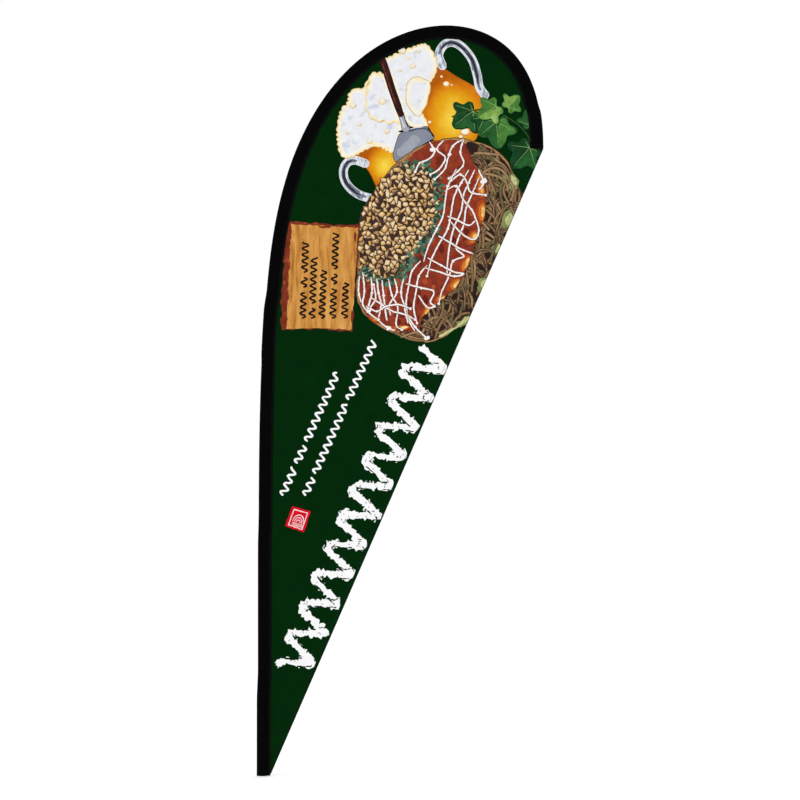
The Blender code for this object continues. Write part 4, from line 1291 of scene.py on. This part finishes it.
def make_leech_hem():
    """The sail's edge folded to the back."""
    from_end, columns = 0.004, 420
    ripple_depth, ripple_length = 0.00012, 0.0075
    up = np.linspace(from_end, LEECH_LENGTH - from_end, columns)
    # Each row's distance in from the edge, its distance behind the sail, and its share of the ripple.
    rows = (
        (0.0002, 0.00045, 0),
        (0.0018, 0.0007, 0.5),
        (0.0050, 0.00075, 1),
        (0.0082, 0.00075, 0.6),
        (HEM_WIDTH, 0.0006, 1),
    )
    inward, behind, loose = zip(*rows)
    flat = np.array([LEECH_BOTTOM + LEECH_WAY * u + LEECH_INWARD * r for r in inward for u in up])
    ripple = ripple_depth * np.sin(np.tile(up, len(rows)) / ripple_length * 2 * math.pi)
    depth = drape(flat) + np.repeat(behind, len(up)) + ripple * np.repeat(loose, len(up))
    vertices = np.stack([flat[:, 0], depth, flat[:, 1]], 1)
    faces = grid_faces(len(rows), len(up))
    hem = new_object("leech_fold", vertices, faces, [cloth("hem_cloth", (0, 36, 8), SAIL_WEAVE)])
    thicken(hem, SAIL_CLOTH)
    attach(hem, "flag")
    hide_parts("leech_hem")
    return hem


def make_overlock():
    """The black thread wound round the free edge."""
    start, end, pitch = 0.003, LEECH_LENGTH - 0.003, 0.0026
    middle, half_width = 0.0011, 0.0013
    behind, half_depth = 0.0003, 0.0008
    turns = int((end - start) / pitch)
    angle = np.linspace(0, turns * 2 * math.pi, turns * 8)
    up = np.linspace(start, end, len(angle))
    inward = middle + half_width * np.cos(angle)
    flat = LEECH_BOTTOM + LEECH_WAY * up[:, None] + LEECH_INWARD * inward[:, None]
    depth = drape(flat) + behind + half_depth * np.sin(angle)
    curve = bpy.data.curves.new("leech_overlock", "CURVE")
    curve.dimensions = "3D"
    curve.bevel_depth = OVERLOCK_RADIUS
    curve.bevel_resolution = 1
    line = curve.splines.new("POLY")
    line.points.add(len(angle) - 1)
    for point, (x, z), y in zip(line.points, flat, depth):
        point.co = (x, y, z, 1)
    curve.materials.append(thread("overlock_black", (16, 18, 17)))
    overlock = bpy.data.objects.new("leech_overlock", curve)
    bpy.context.scene.collection.objects.link(overlock)
    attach(overlock, "flag")
    return overlock


def sleeve_profile(s, count=15):
    """Half of the sleeve's section at s: (out, across) points from the seam's edge to the fold's middle."""
    radius, corner = fold_radius(s), seam_edge(s) - SEAM_ALLOWANCE
    reach = math.hypot(corner, SEAM_HALF_THICKNESS)
    touch = math.pi - math.atan2(SEAM_HALF_THICKNESS, corner) - math.acos(min(radius / reach, 1))
    seam = [(-corner - SEAM_ALLOWANCE * t, SEAM_HALF_THICKNESS) for t in (1, 0.5, 0)]
    start = np.array([-corner, SEAM_HALF_THICKNESS])
    end = np.array([radius * math.cos(touch), radius * math.sin(touch)])
    flank = [tuple(start + (end - start) * t) for t in (0.18, 0.36, 0.54, 0.72, 0.88)]
    turns = np.linspace(touch, 0, count - len(seam) - len(flank))
    fold = [(radius * math.cos(a), radius * math.sin(a)) for a in turns]
    return np.array(seam + flank + fold)


def make_sleeve():
    """The black cloth over the pole: one strip folded round it, closed at the tip, creased where it bends."""
    stations = np.linspace(0, POLE_LENGTH, 620)
    rings = []
    for s in stations:
        half = sleeve_profile(s)
        share = np.linspace(1, 0, len(half))  # 1 at the seam, 0 at the fold
        curvature = np.interp(s, ALONG, np.gradient(TURN, ALONG))
        crease = CREASE_DEPTH + CREASE_GROWTH * min(curvature, 4)
        soft = noise.noise(Vector((s * 30, 1.0, 0.0)))
        close = min((POLE_LENGTH - s) / CLOSED_LENGTH, 1)
        for side in (-1, 1):
            ripple = np.sin(2 * math.pi * (s / CREASE_LENGTH + 0.6 * soft + 0.15 * side)) * crease
            slack = np.array([noise.noise(Vector((s * 14, t * 2.2, 5.0 * side))) for t in share])
            loose = ripple * share + slack * SLACK_DEPTH
            across = half[:, 1] + loose * np.sin(math.pi * share) ** 0.5
            across = np.maximum(across, SEAM_HALF_THICKNESS * 0.9)
            across[-1] = 0
            points = np.stack([half[:, 0], side * across * max(close, 0.06)], 1)
            rings.append(points if side < 0 else points[-2::-1])
    count = len(rings[0]) + len(rings[1])
    profile = np.array([np.concatenate([rings[i], rings[i + 1]]) for i in range(0, len(rings), 2)])
    x, z = beside_pole(np.repeat(stations, count), profile[:, :, 0].ravel())
    vertices = np.stack([x, profile[:, :, 1].ravel(), z], 1)
    black = cloth("sleeve_black", (4, 4, 5), SLEEVE_WEAVE, 0.92, 0.025)
    sleeve = new_object("sleeve_cloth", vertices, grid_faces(len(stations), count), [black])
    thicken(sleeve, SLEEVE_CLOTH, 1.0)
    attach(sleeve, "flag")
    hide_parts("pole_sleeve")
    return sleeve


def between(at, along, values):
    """The value of each column at a place, where along gives the rows' places."""
    return np.array([np.interp(at, along, column) for column in values.T])


def stitches(name, path, normals, material):
    """A row of single stitches along a path, each a length of thread that dips into the cloth at its ends."""
    path, normals = np.array(path), np.array(normals)
    steps = np.linalg.norm(np.diff(path, axis=0), axis=1)
    along = np.concatenate([[0], np.cumsum(steps)])
    starts = np.arange(0.001, along[-1] - STITCH_LENGTH, STITCH_LENGTH + STITCH_GAP)
    arch = ((0.0, -1.0, 0.6), (0.14, 0.15, 1.0), (0.5, 0.45, 1.0), (0.86, 0.15, 1.0), (1.0, -1.0, 0.6))
    sides = 6
    vertices, faces = [], []
    for start in starts:
        first = len(vertices)
        for share, lift, size in arch:
            at = start + STITCH_LENGTH * share
            centre, normal = between(at, along, path), between(at, along, normals)
            ahead = between(at + 1e-4, along, path) - centre
            ahead /= max(np.linalg.norm(ahead), 1e-12)
            across = np.cross(ahead, normal)
            centre = centre + normal * lift * THREAD_RADIUS
            for k in range(sides):
                angle = 2 * math.pi * k / sides
                offset = across * math.cos(angle) + normal * math.sin(angle)
                vertices.append(centre + offset * THREAD_RADIUS * size)
        for r in range(len(arch) - 1):
            for k in range(sides):
                a, b = first + r * sides + k, first + r * sides + (k + 1) % sides
                faces.append((a, b, b + sides, a + sides))
        faces.append(tuple(first + k for k in reversed(range(sides))))
        faces.append(tuple(first + (len(arch) - 1) * sides + k for k in range(sides)))
    return new_object(name, vertices, faces, [material])


def make_stitching():
    """The rows along the seam and the hem, on both faces, and the rings at the mouth and the tip."""
    black, green = thread("thread_black", (20, 20, 21)), thread("thread_green", (14, 48, 22))
    s = np.linspace(0.002, POLE_LENGTH - 0.002, 900)
    for side, sign in (("front", -1), ("back", 1)):
        across = np.tile([0.0, sign, 0.0], (len(s), 1))
        for number, row in enumerate(SEAM_ROWS, 1):
            x, z = beside_pole(s, row - seam_edge(s))
            path = np.stack([x, np.full(len(s), sign * (SEAM_HALF_THICKNESS + 0.0001)), z], 1)
            made = stitches(f"seam_stitches_{side}_{number}", path, across, black)
            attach(made, "flag")
            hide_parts(f"seam_thread_{side}_{number}")
        up = np.linspace(0.010, LEECH_LENGTH - 0.004, 500)
        flat = LEECH_BOTTOM + LEECH_WAY * up[:, None] + LEECH_INWARD * (HEM_WIDTH - HEM_ROW)
        on_top = -0.0002 if side == "front" else 0.0010  # the back's row lies over the hem
        depth = drape(flat) + on_top
        path = np.stack([flat[:, 0], depth, flat[:, 1]], 1)
        made = stitches(f"hem_stitches_{side}", path, np.tile([0.0, sign, 0.0], (len(up), 1)), green)
        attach(made, "flag")
        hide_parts(f"hem_thread_{side}")
    for name, node, at in (
        ("mouth_stitches", "mouth_thread", 0.010),
        ("tip_stitches", "tip_thread", POLE_LENGTH - 0.008),
    ):
        half = sleeve_profile(at)[3:]
        ring = np.concatenate([half * [1, -1], half[-2::-1]])
        out = -left_of(unit(np.gradient(ring, axis=0)))
        turn = float(np.interp(at, ALONG, TURN))
        x, z = beside_pole(np.full(len(ring), at), ring[:, 0])
        path = np.stack([x, ring[:, 1], z], 1)
        if out[len(ring) // 2][0] < 0:
            out = -out
        normals = np.stack([-out[:, 0] * math.cos(turn), out[:, 1], out[:, 0] * math.sin(turn)], 1)
        made = stitches(name, path, normals, black)
        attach(made, "flag")
        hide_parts(node)


def make_elastic():
    """A copy of the CAD loop from the hook to the tab, in a braided cover; the real elastic stretches when
    the flag lifts.
    """
    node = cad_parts["elastic_loop"]
    loop = bpy.data.objects.new("elastic_cord", node.data.copy())
    bpy.context.scene.collection.objects.link(loop)
    loop.data.materials.clear()
    loop.data.materials.append(braid())
    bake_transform(loop)
    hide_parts("elastic_loop")


def finish_nodes():
    """Finishes of the pieces that keep their CAD shape."""
    aluminium = brushed_metal("aluminium_drawn", (196, 198, 202), 0.34, "along")
    steel = brushed_metal("steel_turned", (168, 170, 176), 0.28, "round")
    nylon = moulded("nylon_black", (30, 30, 32), 0.5)
    webbing = cloth("webbing_black", (10, 10, 11), 0.0016, 0.85, 0.12)
    resin = wound_resin()
    finishes = {
        "foot_bush": nylon,
        "butt_tube": aluminium,
        "lower_stop_ring": aluminium,
        "upper_stop_ring": aluminium,
        "tension_collar": nylon,
        "joint_spigot": steel,
        "joint_rivet": aluminium,
        "middle_tube": resin,
        "middle_ferrule": steel,
        "tip_rod": resin,
        "tip_cap": moulded("rubber_black", (24, 24, 25), 0.75, 400.0),
        "tip_pocket": webbing,
        "mouth_hem": cloth("mouth_hem_black", (9, 9, 10), SLEEVE_WEAVE, 0.92, 0.04),
        "anchor_tab": webbing,
    }
    for node, material in finishes.items():
        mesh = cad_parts[node].data
        mesh.materials.clear()
        mesh.materials.append(material)


# ---------------------------------------------------------------- stage


def make_stage():
    """A wide pale floor."""
    rings, sides = (0.0, 1.0, 3.0, 8.0, 20.0, 60.0), 64
    vertices = [(STAGE_MIDDLE, 0.0, FLOOR_Z)]
    for reach in rings[1:]:
        vertices += [
            (STAGE_MIDDLE + reach * math.cos(a), reach * math.sin(a), FLOOR_Z)
            for a in np.linspace(0, 2 * math.pi, sides, endpoint=False)
        ]
    faces = [(0, 1 + k, 1 + (k + 1) % sides) for k in range(sides)]
    for ring in range(len(rings) - 2):
        first, second = 1 + ring * sides, 1 + (ring + 1) * sides
        for k in range(sides):
            after = (k + 1) % sides
            faces.append((first + k, second + k, second + after, first + after))
    paint = Paint("stage_white", roughness=0.9, specular=0.1)
    low, high = (0.3, linear(247, 247, 248)), (0.7, linear(251, 251, 252))
    paint.colour(paint.ramp(paint.noise(0.6, 2.0), low, high))
    paint.shader.inputs["Emission Color"].default_value = WHITE
    paint.shader.inputs["Emission Strength"].default_value = 0.07
    new_object("studio_floor", vertices, faces, [paint.material])


def make_light(name, place, aim, size, power):
    data = bpy.data.lights.new(name, "AREA")
    data.shape = "SQUARE"
    data.size = size
    data.energy = power
    light = bpy.data.objects.new(name, data)
    light.location = place
    light.rotation_euler = (Vector(aim) - Vector(place)).to_track_quat("-Z", "Y").to_euler()
    bpy.context.scene.collection.objects.link(light)


def make_lights():
    world = bpy.data.worlds.new("studio_world")
    world.use_nodes = True
    background = world.node_tree.nodes["Background"]
    background.inputs["Color"].default_value = WHITE
    background.inputs["Strength"].default_value = 1.0
    bpy.context.scene.world = world
    aim = (STAGE_MIDDLE, 0.0, 0.95)
    make_light("key_softbox", (-2.6, -3.6, 3.2), aim, 2.4, 46)
    make_light("fill_softbox", (3.2, -3.4, 1.4), aim, 2.4, 12)
    make_light("back_softbox", (1.8, 3.4, 3.0), aim, 2.0, 26)


def make_camera():
    data = bpy.data.cameras.new("camera")
    data.lens = CAMERA_LENS
    data.sensor_width = SENSOR_WIDTH
    data.clip_end = 60.0
    camera = bpy.data.objects.new("camera", data)
    camera.location = (VIEW_CENTRE[0], -VIEW_WIDTH * CAMERA_LENS / SENSOR_WIDTH, VIEW_CENTRE[1])
    camera.rotation_euler = (math.pi / 2, 0, 0)
    bpy.context.scene.collection.objects.link(camera)
    bpy.context.scene.camera = camera


make_camera()
make_lights()
make_stage()
sail, sail_size, sail_area = make_sail()
hem = make_leech_hem()
overlock = make_overlock()
sleeve = make_sleeve()
make_stitching()
make_elastic()
finish_nodes()
bpy.context.scene.view_settings.view_transform = "Standard"
